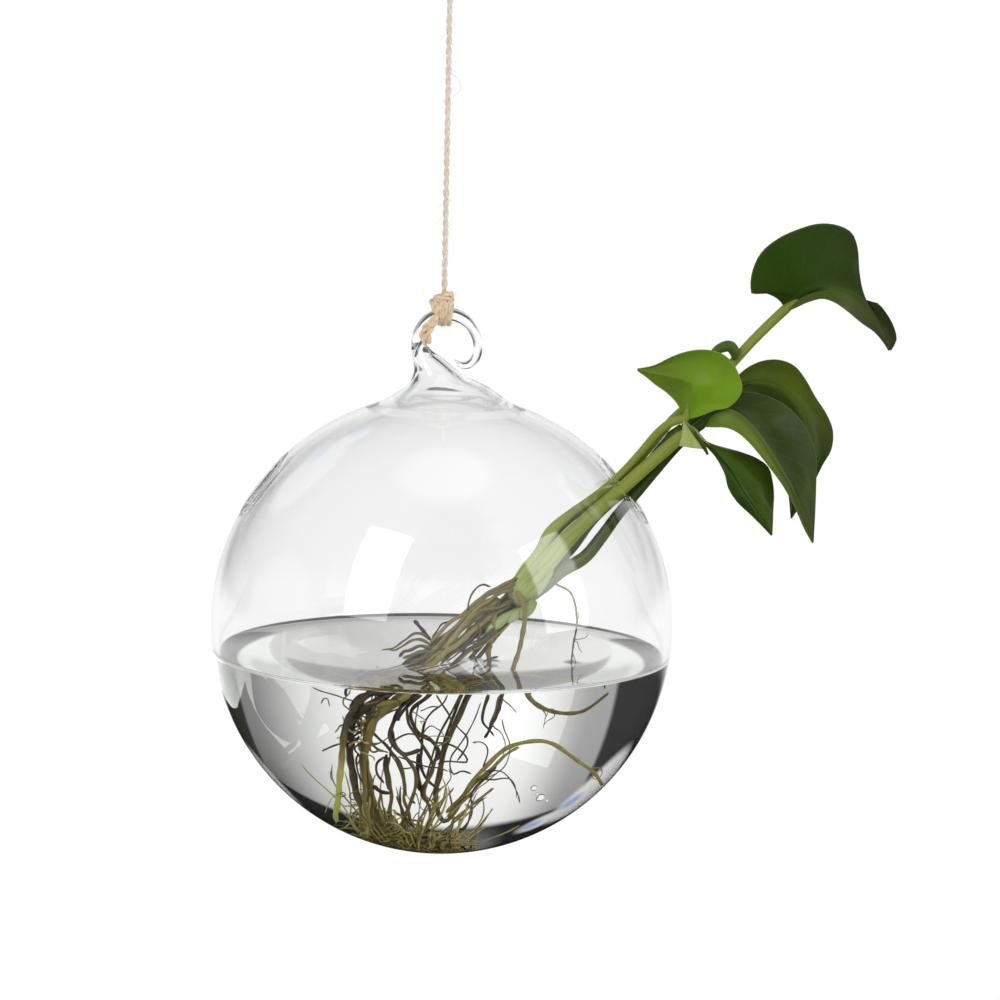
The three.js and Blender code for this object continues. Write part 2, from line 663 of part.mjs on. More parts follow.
function inGlobe([x, y, z]) {
  return new THREE.Vector3(x, y, z).multiplyScalar(innerRadius / 100)
}

function rootGeometry({ onFloor, foot, route }) {
  const radius = ROOT_DIAMETER / 2
  const tip = ROOT_TIP_DIAMETER / 2
  const [n, y] = foot
  const start = crownBottom - GAP
  const points = [
    onDrawLine(start, crownN + n, crownY + y),
    onDrawLine(start - rootFootRun, crownN + n * rootFootSpread, crownY + y * rootFootSpread),
    ...route.map(inGlobe),
  ]
  const last = points[points.length - 1]
  if (onFloor) points.push(last.clone().setLength(innerRadius - GAP - radius))
  return taperedRod(points, (t) => radius + (tip - radius) * t, points.length * 2, 6)
}

function fineRootGeometry({ row, turn, route }) {
  const radius = FINE_ROOT_DIAMETER / 2
  const tip = FINE_ROOT_TIP_DIAMETER / 2
  const { centre, reach } = crownRow(crownRows[row])
  const angle = THREE.MathUtils.degToRad(turn)
  const outside = reach + GAP + radius
  const foot = centre
    .addScaledVector(drawNormal, Math.cos(angle) * outside)
    .addScaledVector(away, Math.sin(angle) * outside)
  return taperedRod([foot, ...route.map(inGlobe)], (t) => radius + (tip - radius) * t, 16, 6)
}

function piece(parent, name, geometry, look) {
  const mesh = new THREE.Mesh(geometry, new THREE.MeshStandardMaterial(look))
  mesh.name = name
  parent.add(mesh)
}

const hangingVase = new THREE.Group()

const cordGroup = new THREE.Group()
cordGroup.position.set(0, 0, -globeDrop)
piece(cordGroup, 'top_loop', topLoopGeometry(), twineLook)
piece(cordGroup, 'top_knot', knotGeometry(topKnotBottom), twineLook)
piece(cordGroup, 'hanging_cord', cordGeometry(), twineLook)
piece(cordGroup, 'lower_knot', knotGeometry(cordBottom), twineLook)
piece(cordGroup, 'ring_loop', ringLoopGeometry(), twineLook)
piece(cordGroup, 'cord_tail', tailGeometry(), twineLook)
hangingVase.add(cordGroup)

const vaseGroup = new THREE.Group()
vaseGroup.position.set(CORD_TO_RING, 0, -globeDrop)
piece(vaseGroup, 'glass_globe', globeGeometry(), glassLook)
piece(vaseGroup, 'glass_hook', hookGeometry(), glassLook)
piece(vaseGroup, 'crown', crownGeometry(), crownLook)
leaves.forEach((leaf, i) => {
  piece(vaseGroup, `leaf_stalk_${i + 1}`, stalkGeometry(i), stalkLook)
  piece(vaseGroup, `leaf_${i + 1}`, leafGeometry(leaf), leaf.look)
})
piece(vaseGroup, 'bract', bractGeometry(), youngLeafLook)
rootRoutes.forEach((root, i) => piece(vaseGroup, `root_${i + 1}`, rootGeometry(root), rootLook))
fineRoots.forEach((root, i) => piece(vaseGroup, `fine_root_${i + 1}`, fineRootGeometry(root), rootLook))
hangingVase.add(vaseGroup)

export default hangingVase
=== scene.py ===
import math

import bpy
import numpy as np
from mathutils import Matrix, Vector


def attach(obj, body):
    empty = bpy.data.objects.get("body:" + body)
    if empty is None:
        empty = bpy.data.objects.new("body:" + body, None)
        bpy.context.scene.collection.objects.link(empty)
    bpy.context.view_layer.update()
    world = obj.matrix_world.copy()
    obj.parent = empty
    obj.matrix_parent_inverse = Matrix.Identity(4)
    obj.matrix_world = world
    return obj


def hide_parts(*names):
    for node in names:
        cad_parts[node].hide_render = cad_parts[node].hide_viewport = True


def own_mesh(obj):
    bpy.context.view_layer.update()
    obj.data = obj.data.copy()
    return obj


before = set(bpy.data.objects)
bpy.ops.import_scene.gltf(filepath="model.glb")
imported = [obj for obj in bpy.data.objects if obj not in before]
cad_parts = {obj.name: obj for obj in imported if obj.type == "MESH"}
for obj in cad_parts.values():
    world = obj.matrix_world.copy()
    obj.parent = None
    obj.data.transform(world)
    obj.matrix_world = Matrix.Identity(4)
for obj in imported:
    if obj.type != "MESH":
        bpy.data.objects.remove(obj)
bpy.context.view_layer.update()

MM = 0.001
GLOBE_CENTRE = np.array([1.0, 0.0, -192.455])
OUTER_RADIUS = 60.0
INNER_RADIUS = 58.4
# Middle of the hook's ring above the globe's centre, and the ring's radius
RING_HEIGHT = 73.7
RING_RADIUS = 7.4
# The twine hangs at the frame's origin, to the left of the globe's middle
CORD_OFFSET = -1.0
TWINE_DIAMETER = 1.5
TWINE_RADIUS = 0.75


# Camera

def add_camera():
    """Looks at the globe from the photograph's angle, 1.2 m away and 9.6 degrees above it."""
    elevation = math.radians(9.6)
    distance = 1.2
    yaw = math.radians(0.7027)
    pitch = math.radians(8.0532)
    roll = math.radians(1.2)
    away = Vector((0, -distance * math.cos(elevation), distance * math.sin(elevation)))
    forward = Vector((math.sin(yaw) * math.cos(pitch), math.cos(yaw) * math.cos(pitch), -math.sin(pitch)))
    level = forward.cross(Vector((0, 0, 1))).normalized()
    upright = level.cross(forward)
    right = level * math.cos(roll) + upright * math.sin(roll)
    up = upright * math.cos(roll) - level * math.sin(roll)
    data = bpy.data.cameras.new("camera")
    data.sensor_width = 36
    data.lens = 165.59
    data.clip_end = 50
    camera = bpy.data.objects.new("camera", data)
    turned = Matrix((right, up, -forward)).transposed().to_4x4()
    camera.matrix_world = Matrix.Translation(Vector(GLOBE_CENTRE * MM) + away) @ turned
    bpy.context.collection.objects.link(camera)
    bpy.context.scene.camera = camera


add_camera()


# Curves and meshes

def resample(line, count):
    """The line as evenly spaced points."""
    steps = np.linalg.norm(np.diff(line, axis=0), axis=1)
    run = np.concatenate([[0], np.cumsum(steps)])
    wanted = np.linspace(0, run[-1], count)
    return np.column_stack([np.interp(wanted, run, line[:, axis]) for axis in range(3)])


def smooth_line(points, count):
    """Evenly spaced points along a smooth curve through the given ones."""
    points = np.array(points, float)
    padded = np.vstack([2 * points[0] - points[1], points, 2 * points[-1] - points[-2]])
    share = np.linspace(0, 1, 16, endpoint=False)[:, None]
    pieces = []
    for a, b, c, d in zip(padded, padded[1:], padded[2:], padded[3:]):
        before, within, after = (max(np.linalg.norm(q - p), 1e-6) ** 0.5 for p, q in ((a, b), (b, c), (c, d)))
        leaving = ((b - a) / before - (c - a) / (before + within) + (c - b) / within) * within
        arriving = ((c - b) / within - (d - b) / (within + after) + (d - c) / after) * within
        pieces.append(
            (2 * share**3 - 3 * share**2 + 1) * b
            + (share**3 - 2 * share**2 + share) * leaving
            + (3 * share**2 - 2 * share**3) * c
            + (share**3 - share**2) * arriving
        )
    return resample(np.vstack([*pieces, points[-1:]]), count)


def unit(vectors):
    """Vectors of length one."""
    return vectors / np.maximum(np.linalg.norm(vectors, axis=-1, keepdims=True), 1e-12)


def frames_along(line):
    """Two unit vectors across the line at each point, turning as little as they can."""
    tangents = unit(np.gradient(line, axis=0))
    least = np.eye(3)[np.argmin(np.abs(tangents[0]))]
    across = unit(np.cross(tangents[0], least))
    first = []
    for tangent in tangents:
        across = unit(across - tangent * (across @ tangent))
        first.append(across)
    first = np.array(first)
    return first, np.cross(tangents, first)


def angles_round(count):
    """Evenly spaced angles, once round."""
    return np.linspace(0, 2 * math.pi, count, endpoint=False)


def round_axes(turn, reach, first, second):
    """Points at their angles round a middle, from the first axis towards the second."""
    return np.outer(np.cos(turn) * reach, first) + np.outer(np.sin(turn) * reach, second)


def level_ring(turn, reach, height):
    """A level circle round the upright axis."""
    return np.column_stack([reach * np.cos(turn), reach * np.sin(turn), np.full(len(turn), height)])


def spread_over(values, count):
    """Evenly spaced values, read at so many even steps."""
    return np.interp(np.linspace(0, 1, count), np.linspace(0, 1, len(values)), values)


def small_waves(count, paces, phase):
    """A sway in three directions, each at a pace of its own."""
    return np.column_stack([np.sin(np.arange(count) * pace + phase) for pace in paces])


def tube(line, radii, sides, lobes=0, lobe_depth=0.0, lobe_turn=0.0):
    """Rings of points round a line. Lobes are ridges along it, which turn round it by lobe_turn a step."""
    first, second = frames_along(line)
    turn = angles_round(sides)
    step = np.arange(len(line))[:, None]
    reach = radii[:, None] * (1 + lobe_depth * np.cos(lobes * turn + lobe_turn * step))
    return (
        line[:, None]
        + first[:, None] * (np.cos(turn) * reach)[..., None]
        + second[:, None] * (np.sin(turn) * reach)[..., None]
    )


def capped(rings):
    """Points and faces of a closed body through rings, with a middle point at each end."""
    rows, sides = rings.shape[:2]
    points = np.vstack([rings.reshape(-1, 3), rings[0].mean(0), rings[-1].mean(0)])
    last = (rows - 1) * sides
    start = rows * sides
    faces = []
    for near in range(0, last, sides):
        far = near + sides
        for j in range(sides):
            k = (j + 1) % sides
            faces.append([near + j, near + k, far + k, far + j])
    for j in range(sides):
        k = (j + 1) % sides
        faces.append([start, k, j])
        faces.append([start + 1, last + j, last + k])
    return points, faces


class Shape:
    """Points, faces and point values of a mesh under construction."""

    def __init__(self):
        self.points = []
        self.faces = []
        self.values = {}
        self.slots = []
        self.count = 0

    def add_faces(self, faces, slot):
        """Faces between points that are there already."""
        self.faces += faces
        self.slots += [slot] * len(faces)

    def add(self, points, faces, slot=0, **values):
        """Points with their faces and values. A value that is new is 0 at the points before."""
        points = np.asarray(points, float).reshape(-1, 3)
        self.points.append(points)
        self.add_faces([[i + self.count for i in face] for face in faces], slot)
        for name, value in values.items():
            held = self.values.setdefault(name, [])
            missing = self.count - sum(len(part) for part in held)
            held += [np.zeros(missing), np.broadcast_to(np.asarray(value, float).reshape(-1), len(points))]
        self.count += len(points)

    def add_rings(self, rings, slot=0, **values):
        """A closed body through rings of equally many points."""
        points, faces = capped(rings)
        with_ends = {}
        for name, value in values.items():
            value = np.broadcast_to(value, rings.shape[:2])
            with_ends[name] = np.concatenate([value.reshape(-1), [value[0].mean(), value[-1].mean()]])
        self.add(points, faces, slot, **with_ends)

    def build(self, name, *materials):
        """The shape as a smooth Blender object in the frame."""
        mesh = bpy.data.meshes.new(name)
        points = (np.vstack(self.points) + GLOBE_CENTRE) * MM
        mesh.from_pydata(points.tolist(), [], self.faces)
        for material in materials:
            mesh.materials.append(material)
        mesh.polygons.foreach_set("material_index", self.slots)
        mesh.shade_smooth()
        for label, held in self.values.items():
            value = np.concatenate(held)
            value = np.concatenate([value, np.zeros(self.count - len(value))])
            mesh.attributes.new(label, "FLOAT", "POINT").data.foreach_set("value", value.astype(np.float32))
        mesh.update()
        thing = bpy.data.objects.new(name, mesh)
        bpy.context.collection.objects.link(thing)
        return thing


def place(thing, body, slot, *nodes):
    """Puts a piece on its body, in place of its nodes. The slot is not used."""
    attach(thing, body)
    if nodes:
        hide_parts(*nodes)
    return thing


# Materials

class Paint:
    """The nodes of a material, or of the world, under construction."""

    def __init__(self, name, world=None):
        self.owner = world or bpy.data.materials.new(name)
        self.owner.use_nodes = True
        self.tree = self.owner.node_tree
        self.tree.nodes.clear()
        self.output = self.tree.nodes.new("ShaderNodeOutputWorld" if world else "ShaderNodeOutputMaterial")

    def add(self, kind, inputs=None, **settings):
        """A node. An input's value is a number, a colour or another node's output."""
        made = self.tree.nodes.new(kind)
        for name, value in settings.items():
            setattr(made, name, value)
        for name, value in (inputs or {}).items():
            if isinstance(value, bpy.types.NodeSocket):
                self.tree.links.new(value, made.inputs[name])
            else:
                made.inputs[name].default_value = value
        return made

    def math(self, operation, *values):
        """A sum on numbers and other nodes' outputs."""
        return self.add("ShaderNodeMath", dict(enumerate(values)), operation=operation).outputs[0]

    def times(self, first, second):
        return self.math("MULTIPLY", first, second)

    def plus(self, first, second):
        return self.math("ADD", first, second)

    def largest(self, first, *others):
        """The largest of two or more values."""
        for other in others:
            first = self.math("MAXIMUM", first, other)
        return first

    def vector_math(self, operation, result, *values):
        """A sum on vectors, with the name of its result."""
        return self.add("ShaderNodeVectorMath", dict(enumerate(values)), operation=operation).outputs[result]

    def value(self, name):
        """A point value that the mesh carries."""
        return self.add("ShaderNodeAttribute", attribute_name=name).outputs["Fac"]

    def spot(self):
        """The place on the object."""
        return self.add("ShaderNodeTexCoord").outputs["Object"]

    def strand(self, width, length):
        """A place round and along a strand, from the values that its mesh carries."""
        turn = self.value("around")
        parts = {
            0: self.times(self.math("COSINE", turn), width),
            1: self.times(self.math("SINE", turn), width),
            2: self.times(self.value("along"), length),
        }
        return self.add("ShaderNodeCombineXYZ", parts).outputs[0]

    def noise(self, scale, detail=3.0, roughness=0.5, vector=None):
        """Soft random patches from 0 to 1."""
        inputs = {"Scale": scale, "Detail": detail, "Roughness": roughness, "Vector": vector or self.spot()}
        return self.add("ShaderNodeTexNoise", inputs).outputs["Fac"]

    def ramp(self, factor, *stops):
        """A colour for the factor, from (place, colour) stops."""
        made = self.add("ShaderNodeValToRGB", {"Fac": factor})
        elements = made.color_ramp.elements
        while len(elements) < len(stops):
            elements.new(0.5)
        for element, (at, colour) in zip(elements, stops):
            element.position = at
            element.color = (*colour, 1)
        return made.outputs["Color"]

    def mix(self, factor, first, second):
        """The first colour, going over to the second as the factor rises."""
        made = self.add("ShaderNodeMix", {0: factor}, data_type="RGBA")
        for socket, value in ((made.inputs[6], first), (made.inputs[7], second)):
            if isinstance(value, bpy.types.NodeSocket):
                self.tree.links.new(value, socket)
            else:
                socket.default_value = (*value, 1)
        return made.outputs[2]

    def span(self, factor, low, high, start=0.0, end=1.0):
        """The factor moved from low..high to start..end, smoothly and held at both ends."""
        inputs = {"Value": factor, "From Min": low, "From Max": high, "To Min": start, "To Max": end}
        return self.add("ShaderNodeMapRange", inputs, interpolation_type="SMOOTHSTEP").outputs["Result"]

    def bump(self, height, distance):
        """A relief that high."""
        return self.add("ShaderNodeBump", {"Height": height, "Distance": distance}).outputs["Normal"]

    def blend(self, factor, first, second):
        """The first shader, going over to the second as the factor rises."""
        return self.add("ShaderNodeMixShader", {0: factor, 1: first, 2: second}).outputs[0]

    def finish(self, shader):
        """Ends with this shader, and gives the material."""
        self.tree.links.new(shader, self.output.inputs["Surface"])
        return self.owner

    def finish_principled(self, **inputs):
        """Ends with a plain shader that has these inputs, and gives the material."""
        named = {name.replace("_", " "): value for name, value in inputs.items()}
        return self.finish(self.add("ShaderNodeBsdfPrincipled", named).outputs[0])


# Light that has met more surfaces than this is caught in the glass
CAUGHT_DEPTH = 4.5


def clear_material(name, ior, tint, wave, thin=0.0):
    """Clear glass or water. Lamps shine through it, and light that is long caught in it goes out straight.

    Thin is the share of light that passes it without being bent.
    """
    paint = Paint(name)
    ripple = paint.bump(paint.noise(28.0, 2.0), wave)
    inputs = {"Color": (*tint, 1), "Roughness": 0.0, "IOR": ior, "Normal": ripple}
    glass = paint.add("ShaderNodeBsdfGlass", inputs).outputs[0]
    clear = paint.add("ShaderNodeBsdfTransparent", {"Color": (*tint, 1)}).outputs[0]
    rays = paint.add("ShaderNodeLightPath").outputs
    caught = paint.math("GREATER_THAN", rays["Ray Depth"], CAUGHT_DEPTH)
    straight = paint.largest(rays["Is Shadow Ray"], rays["Is Diffuse Ray"], caught, thin)
    return paint.finish(paint.blend(straight, glass, clear))


def open_material():
    """The water's skin against the glass, where the glass already bends the light."""
    paint = Paint("water_side")
    tint = paint.ramp(paint.noise(20.0), (0.3, (0.992, 0.994, 0.986)), (0.7, (0.998, 1.0, 0.995)))
    return paint.finish(paint.add("ShaderNodeBsdfTransparent", {"Color": tint}).outputs[0])


# Places of the dark, middle and light streaks in jute, and their colours where it is fair and golden
STREAKS = (0.28, 0.5, 0.72)
FAIR_JUTE = [(0.62, 0.48, 0.34), (0.88, 0.76, 0.60), (0.97, 0.92, 0.80)]
GOLDEN_JUTE = [(0.46, 0.30, 0.17), (0.86, 0.66, 0.45), (0.96, 0.86, 0.66)]


def twine_material():
    """Jute: streaks of paler and browner fibre along each ply, and more golden above the globe."""
    paint = Paint("jute")
    streaks = paint.noise(2.6, 5.0, 0.7, paint.strand(1.4, 0.35))
    patches = paint.noise(160.0, 3.0)
    fair = paint.ramp(streaks, *zip(STREAKS, FAIR_JUTE))
    golden = paint.ramp(streaks, *zip(STREAKS, GOLDEN_JUTE))
    height = paint.add("ShaderNodeSeparateXYZ", {0: paint.spot()}).outputs["Z"]
    colour = paint.mix(paint.span(patches, 0.45, 0.7, 0.0, 0.55), fair, (0.90, 0.82, 0.70))
    return paint.finish_principled(
        Base_Color=paint.mix(paint.span(height, -0.098, -0.108), colour, golden),
        Roughness=paint.span(streaks, 0.3, 0.7, 0.95, 0.75),
        Normal=paint.bump(streaks, 0.00012),
        Sheen_Weight=0.25,
        Specular_IOR_Level=0.3,
    )


# Side veins along a leaf's half, and how far each one leans towards the tip
VEINS = 11.0
VEIN_LEAN = 3.2


def leaf_material(name, corners, under, gloss):
    """A waxy leaf: its colour runs between its four corner colours, with veins and a paler underside.

    The corner colours are the left half's base and tip, then the right half's. Besides the leaf's own green
    they hold painted light and shade: a half is painted lighter where the lamps fall on it and darker where
    it turns away.
    """
    paint = Paint(name)
    along, across = paint.value("along"), paint.value("across")
    beside = paint.math("ABSOLUTE", across)
    mottle = paint.noise(70.0, 5.0, 0.6)
    tipward = paint.span(along, 0.1, 0.9)
    # Painted light and shade: each half's colour runs from its lit or shaded base to its tip
    left = paint.mix(tipward, corners[0], corners[1])
    right = paint.mix(tipward, corners[2], corners[3])
    green = paint.mix(paint.span(across, -0.25, 0.35), left, right)
    green = paint.mix(paint.span(mottle, 0.35, 0.75, 0.0, 0.35), green, (0.0, 0.0, 0.0))
    green = paint.mix(paint.span(paint.noise(30.0, 2.0), 0.45, 0.7, 0.0, 0.12), green, under)
    waves = paint.math("SUBTRACT", paint.times(along, VEINS), paint.times(beside, VEIN_LEAN))
    veins = paint.math("ABSOLUTE", paint.math("SINE", paint.times(waves, math.pi)))
    veins = paint.span(veins, 0.0, 0.16, 1.0, 0.0)
    midrib = paint.span(beside, 0.015, 0.06, 1.0, 0.0)
    lines = paint.largest(paint.times(veins, 0.10), paint.times(midrib, 0.2))
    green = paint.mix(lines, green, under)
    beneath = paint.times(paint.value("under"), paint.span(mottle, 0.35, 0.65, 0.08, 0.22))
    colour = paint.mix(beneath, green, under)
    # Painted highlight: a thin line along the leaf's edge turns halfway to the paler underside colour
    rim = paint.span(beside, 0.97, 0.998, 0.0, 0.5)
    relief = paint.plus(paint.times(lines, -0.5), paint.times(mottle, 0.4))
    return paint.finish_principled(
        Base_Color=paint.mix(rim, colour, under),
        Roughness=paint.span(paint.noise(120.0, 3.0), 0.3, 0.7, gloss, gloss + 0.14),
        Normal=paint.bump(relief, 0.00025),
        Subsurface_Weight=0.06,
        Subsurface_Radius=(0.0006, 0.0012, 0.0003),
        Specular_IOR_Level=0.08,
    )


def stem_material(name, low, high, dark):
    """A juicy stem: one colour at its foot, another at its head, with long streaks."""
    paint = Paint(name)
    streaks = paint.noise(3.2, 4.0, 0.6, paint.strand(1.0, 2.0))
    rise = paint.plus(paint.value("along"), paint.times(streaks, 0.15))
    colour = paint.ramp(paint.span(rise, 0.1, 0.5), (0.0, low), (1.0, high))
    return paint.finish_principled(
        Base_Color=paint.mix(paint.span(streaks, 0.5, 0.72, 0.0, 0.6), colour, dark),
        Roughness=paint.span(streaks, 0.3, 0.7, 0.3, 0.5),
        Normal=paint.bump(streaks, 0.0001),
        Subsurface_Weight=0.12,
        Subsurface_Radius=(0.0008, 0.0014, 0.0004),
        Specular_IOR_Level=0.2,
    )


# Colour of a root for each tone, from dark brown to pale green
ROOT_TONES = [
    (0.0, (0.026, 0.014, 0.011)),
    (0.15, (0.050, 0.038, 0.021)),
    (0.3, (0.105, 0.086, 0.034)),
    (0.5, (0.190, 0.155, 0.042)),
    (0.65, (0.280, 0.240, 0.062)),
    (0.8, (0.440, 0.380, 0.150)),
    (1.0, (0.370, 0.430, 0.070)),
]


def root_material():
    """Roots, each with tones of its own that its mesh carries, under a fine grain."""
    paint = Paint("root")
    tone = paint.value("tone")
    grain = paint.noise(900.0, 4.0, 0.6)
    mixed = paint.plus(tone, paint.times(paint.math("SUBTRACT", grain, 0.5), 0.30))
    return paint.finish_principled(
        Base_Color=paint.ramp(mixed, *ROOT_TONES),
        Roughness=paint.span(grain, 0.3, 0.7, 0.26, 0.5),
        Normal=paint.bump(grain, 0.0001),
        Subsurface_Weight=0.06,
        Subsurface_Radius=(0.0006, 0.0005, 0.0002),
        Specular_IOR_Level=0.25,
    )


# Twine

# Length of one turn of the plies, distance between their rings, and points round a ply
LAY = 5.2
PLY_STEP = 0.3
PLY_SIDES = 12
# Radius of a ply for a twine that is 1 mm thick
PLY_RADIUS = 0.285


def plied(shape, line, start=0.0, lay=LAY, diameter=TWINE_DIAMETER):
    """Two plies laid round a line, each with ridges of fibre that turn against the lay."""
    run = np.linalg.norm(np.diff(line, axis=0), axis=1).sum()
    count = max(8, int(run / PLY_STEP))
    line = resample(line, count)
    along = np.linspace(0, run, count)
    first, second = frames_along(line)
    ply_radius = diameter * PLY_RADIUS
    offset = diameter * 0.5 - ply_radius
    for ply in range(2):
        turn = 2 * math.pi * along / lay + math.pi * ply + start
        middle = line + offset * (np.cos(turn)[:, None] * first + np.sin(turn)[:, None] * second)
        radii = ply_radius * (1 + 0.07 * np.sin(along * 2.1 + 2.4 * ply) + 0.05 * np.sin(along * 5.3 + ply))
        rings = tube(middle, radii, PLY_SIDES, 4, 0.09, -0.33)
        around = angles_round(PLY_SIDES)[None] + 3.0 * ply
        shape.add_rings(rings, around=around - 0.2 * along[:, None], along=along[:, None])


def stray_fibres(shape, line, amount, seed, longest=3.4):
    """Loose hairs that stand off the twine."""
    dice = np.random.default_rng(seed)
    first, second = frames_along(line)
    for _ in range(amount):
        i = dice.integers(1, len(line) - 2)
        turn = dice.uniform(0, 2 * math.pi)
        outward = math.cos(turn) * first[i] + math.sin(turn) * second[i]
        onward = unit(line[i + 1] - line[i - 1]) * dice.choice([-1, 1])
        length = dice.uniform(0.9, longest)
        lift = dice.uniform(0.15, 0.75)
        root = line[i] + outward * TWINE_DIAMETER * 0.4
        t = np.linspace(0, 1, 6)[:, None]
        bend = unit(dice.normal(size=3)) * dice.uniform(0.1, 0.5)
        hair = root + onward * length * (1 - lift) * t + outward * length * lift * t**1.4
        hair = hair + bend * length * t**2
        radii = np.linspace(0.045, 0.015, 6)
        shape.add_rings(tube(hair, radii, 4), around=turn, along=dice.uniform(0, 50))


def ring_turn(offset, radius):
    """One turn of twine round the rod at the ring's top, to one side of its middle."""
    t = np.linspace(0, 2 * math.pi, 60)
    angle = math.pi / 2 - offset / RING_RADIUS
    reach = WRAPPED_ROD + np.cos(t) * (radius + TWINE_RADIUS)
    height = RING_HEIGHT + math.sin(angle) * reach
    return np.column_stack([math.cos(angle) * reach, -np.sin(t) * radius, height])


CORD_BOTTOM = 85.0
CORD_TOP = 168.0
CORD_LINE = np.array([[CORD_OFFSET, 0, z] for z in np.linspace(CORD_BOTTOM, CORD_TOP, 60)])
# One long hair that stands off the cord
LONG_HAIR = [
    (-1.0, -0.6, 143.0), (0.2, -1.2, 142.7), (1.5, -1.6, 141.6), (2.2, -1.6, 139.8), (1.8, -1.4, 138.3),
    (0.5, -1.0, 137.2),
]
# Knot above the cord: its bottom, its turns, their radius and their pitch
TOP_KNOT_BOTTOM = 168.3
KNOT_TURNS = 1.1
KNOT_RADIUS = 1.8
KNOT_PITCH = 1.8
# Loop above the knot: its bottom, its height, and how far its legs stand apart at the foot and in its middle
LOOP_BOTTOM = 172.455
TOP_LOOP_HEIGHT = 20.0
LOOP_FOOT = 0.9
LOOP_SPREAD = 4.6
# Middle of the binding turns above the ring
BINDING_HEIGHT = 85.5
# Lower bands of the binding: height from its middle, and reach
BINDING_BANDS = [(-1.0, 2.0), (-2.0, 1.95)]
# Distance of the turns round the rod from the ring's middle
WRAPPED_ROD = 8.15
# Each turn round the rod: its offset along it, its radius and its thickness
ROD_TURNS = [(-2.8, 2.35, 1.45), (-2.1, 2.5, 1.5), (-1.3, 2.55, 1.6), (-0.4, 2.6, 1.6), (0.5, 2.55, 1.6)]
# The twine's cut end hangs in front of the ring's left limb, with its plies apart
TAIL_PLIES = [
    [(-2.8, -2.6, 80.6), (-3.9, -3.6, 79.4), (-5.5, -4.1, 78.0), (-6.3, -4.2, 76.2), (-6.0, -4.2, 74.6),
     (-5.4, -4.1, 73.7)],
    [(-2.6, -3.2, 80.0), (-3.7, -4.2, 78.6), (-4.7, -4.6, 77.0), (-5.0, -4.6, 75.4), (-4.6, -4.5, 73.8)],
]


def add_free_run(jute):
    """The twine's free run and the hairs on it."""
    strand = Shape()
    plied(strand, CORD_LINE)
    cord = place(strand.build("twine_cord", jute), "line", "twine", "hanging_cord")
    hairs = Shape()
    stray_fibres(hairs, resample(CORD_LINE[5:], 280), 84, 3)
    hairs.add_rings(tube(smooth_line(LONG_HAIR, 24), np.full(24, 0.07), 5), around=0.0, along=0.0)
    return cord, place(hairs.build("twine_fibres", jute), "line", "twine")


def add_top_knot(jute):
    t = np.linspace(0, 1, 60)
    turn = 2 * math.pi * KNOT_TURNS * t
    height = TOP_KNOT_BOTTOM + TWINE_RADIUS + KNOT_PITCH * KNOT_TURNS * t
    wraps = np.column_stack([CORD_OFFSET + np.cos(turn) * KNOT_RADIUS, np.sin(turn) * KNOT_RADIUS, height])
    knot = Shape()
    plied(knot, wraps, 0.8)
    stray_fibres(knot, resample(wraps, 120), 16, 5)
    return place(knot.build("twine_top_knot", jute), "head", "twine", "top_knot")


def add_top_loop(jute):
    t = np.linspace(0, 1, 80)
    side = -LOOP_FOOT * np.cos(math.pi * t) - LOOP_SPREAD * np.sin(2 * math.pi * t)
    rise = LOOP_BOTTOM + (TOP_LOOP_HEIGHT - TWINE_RADIUS) * np.sin(math.pi * t)
    legs = np.column_stack([CORD_OFFSET + side, np.zeros(80), rise])
    loop = Shape()
    plied(loop, legs, 2.0)
    stray_fibres(loop, resample(legs, 160), 40, 7)
    return place(loop.build("twine_top_loop", jute), "hanger", "twine", "top_loop")


def add_lower_knot(jute):
    """The binding above the ring, the turns round its rod and the cut tail, all of one twine."""
    eye = Shape()
    t = np.linspace(-0.6, 1.75 * math.pi, 60)
    wrap = np.column_stack([-1.2 + 2.0 * np.cos(t), -2.0 * np.sin(t), BINDING_HEIGHT + 0.6 * np.cos(t)])
    plied(eye, wrap, 0.3, diameter=1.7)
    for drop, reach in BINDING_BANDS:
        height = BINDING_HEIGHT + drop + 0.5 * np.cos(t + drop)
        plied(eye, np.column_stack([CORD_OFFSET + reach * np.cos(t), -reach * np.sin(t), height]), drop)
    for number, (offset, radius, thickness) in enumerate(ROD_TURNS):
        turn = ring_turn(offset, radius)
        plied(eye, turn, 1.1 + number, 3.4 * thickness, thickness)
        stray_fibres(eye, resample(turn, 200), 14, 13 + number, 2.0)
    for number, route in enumerate(TAIL_PLIES):
        tail = smooth_line(route, 40)
        plied(eye, tail, 0.6 + number, 4.6, 1.75)
        stray_fibres(eye, resample(tail, 60), 26, 17 + number, 2.2)
    stray_fibres(eye, resample(wrap, 120), 24, 11)
    return place(eye.build("twine_lower_knot", jute), "eye", "twine", "lower_knot", "ring_loop", "cord_tail")


def add_twine():
    """The whole twine, from the knot on the ring up to the loop it hangs by."""
    jute = twine_material()
    cord, fibres = add_free_run(jute)
    top_knot = add_top_knot(jute)
    top_loop = add_top_loop(jute)
    lower = add_lower_knot(jute)


add_twine()


# Glass

GLASS_IOR = 1.5
WATER_IOR = 1.333
# Air in the water, which bends light less here than in life, so that the small bubbles stay pale
BUBBLE_IOR = 0.88
GLASS_TINT = (0.996, 0.998, 0.997)
GLASS_WAVE = 0.00006
# Points round the globe, and rings from its floor to the hook's foot
SEGMENTS = 160
SPHERE_ROWS = 96
# Angle of a ball's lowest ring, from the top
LOWEST_RING = math.pi - 0.012
MOUTH_ELEVATION = math.radians(37.9)
# Radius of the hole in the outer and in the inner skin
OUTER_EDGE = 10.0
INNER_EDGE = 9.6
# Rolled lip round each mouth: reach and height of its middle along the mouth's axis, its radius,
# and the reach and height at which it leaves the outer skin and joins the inner one
LIP_REACH = 8.3
LIP_HEIGHT = 58.615
LIP_RADIUS = 1.05
LIP_START = (9.6, 59.24)
LIP_END = (9.3, 57.64)
# Height of the water, and of its rim where it meets the glass
WATER_LEVEL = -8.6
CONTACT_LEVEL = -7.0

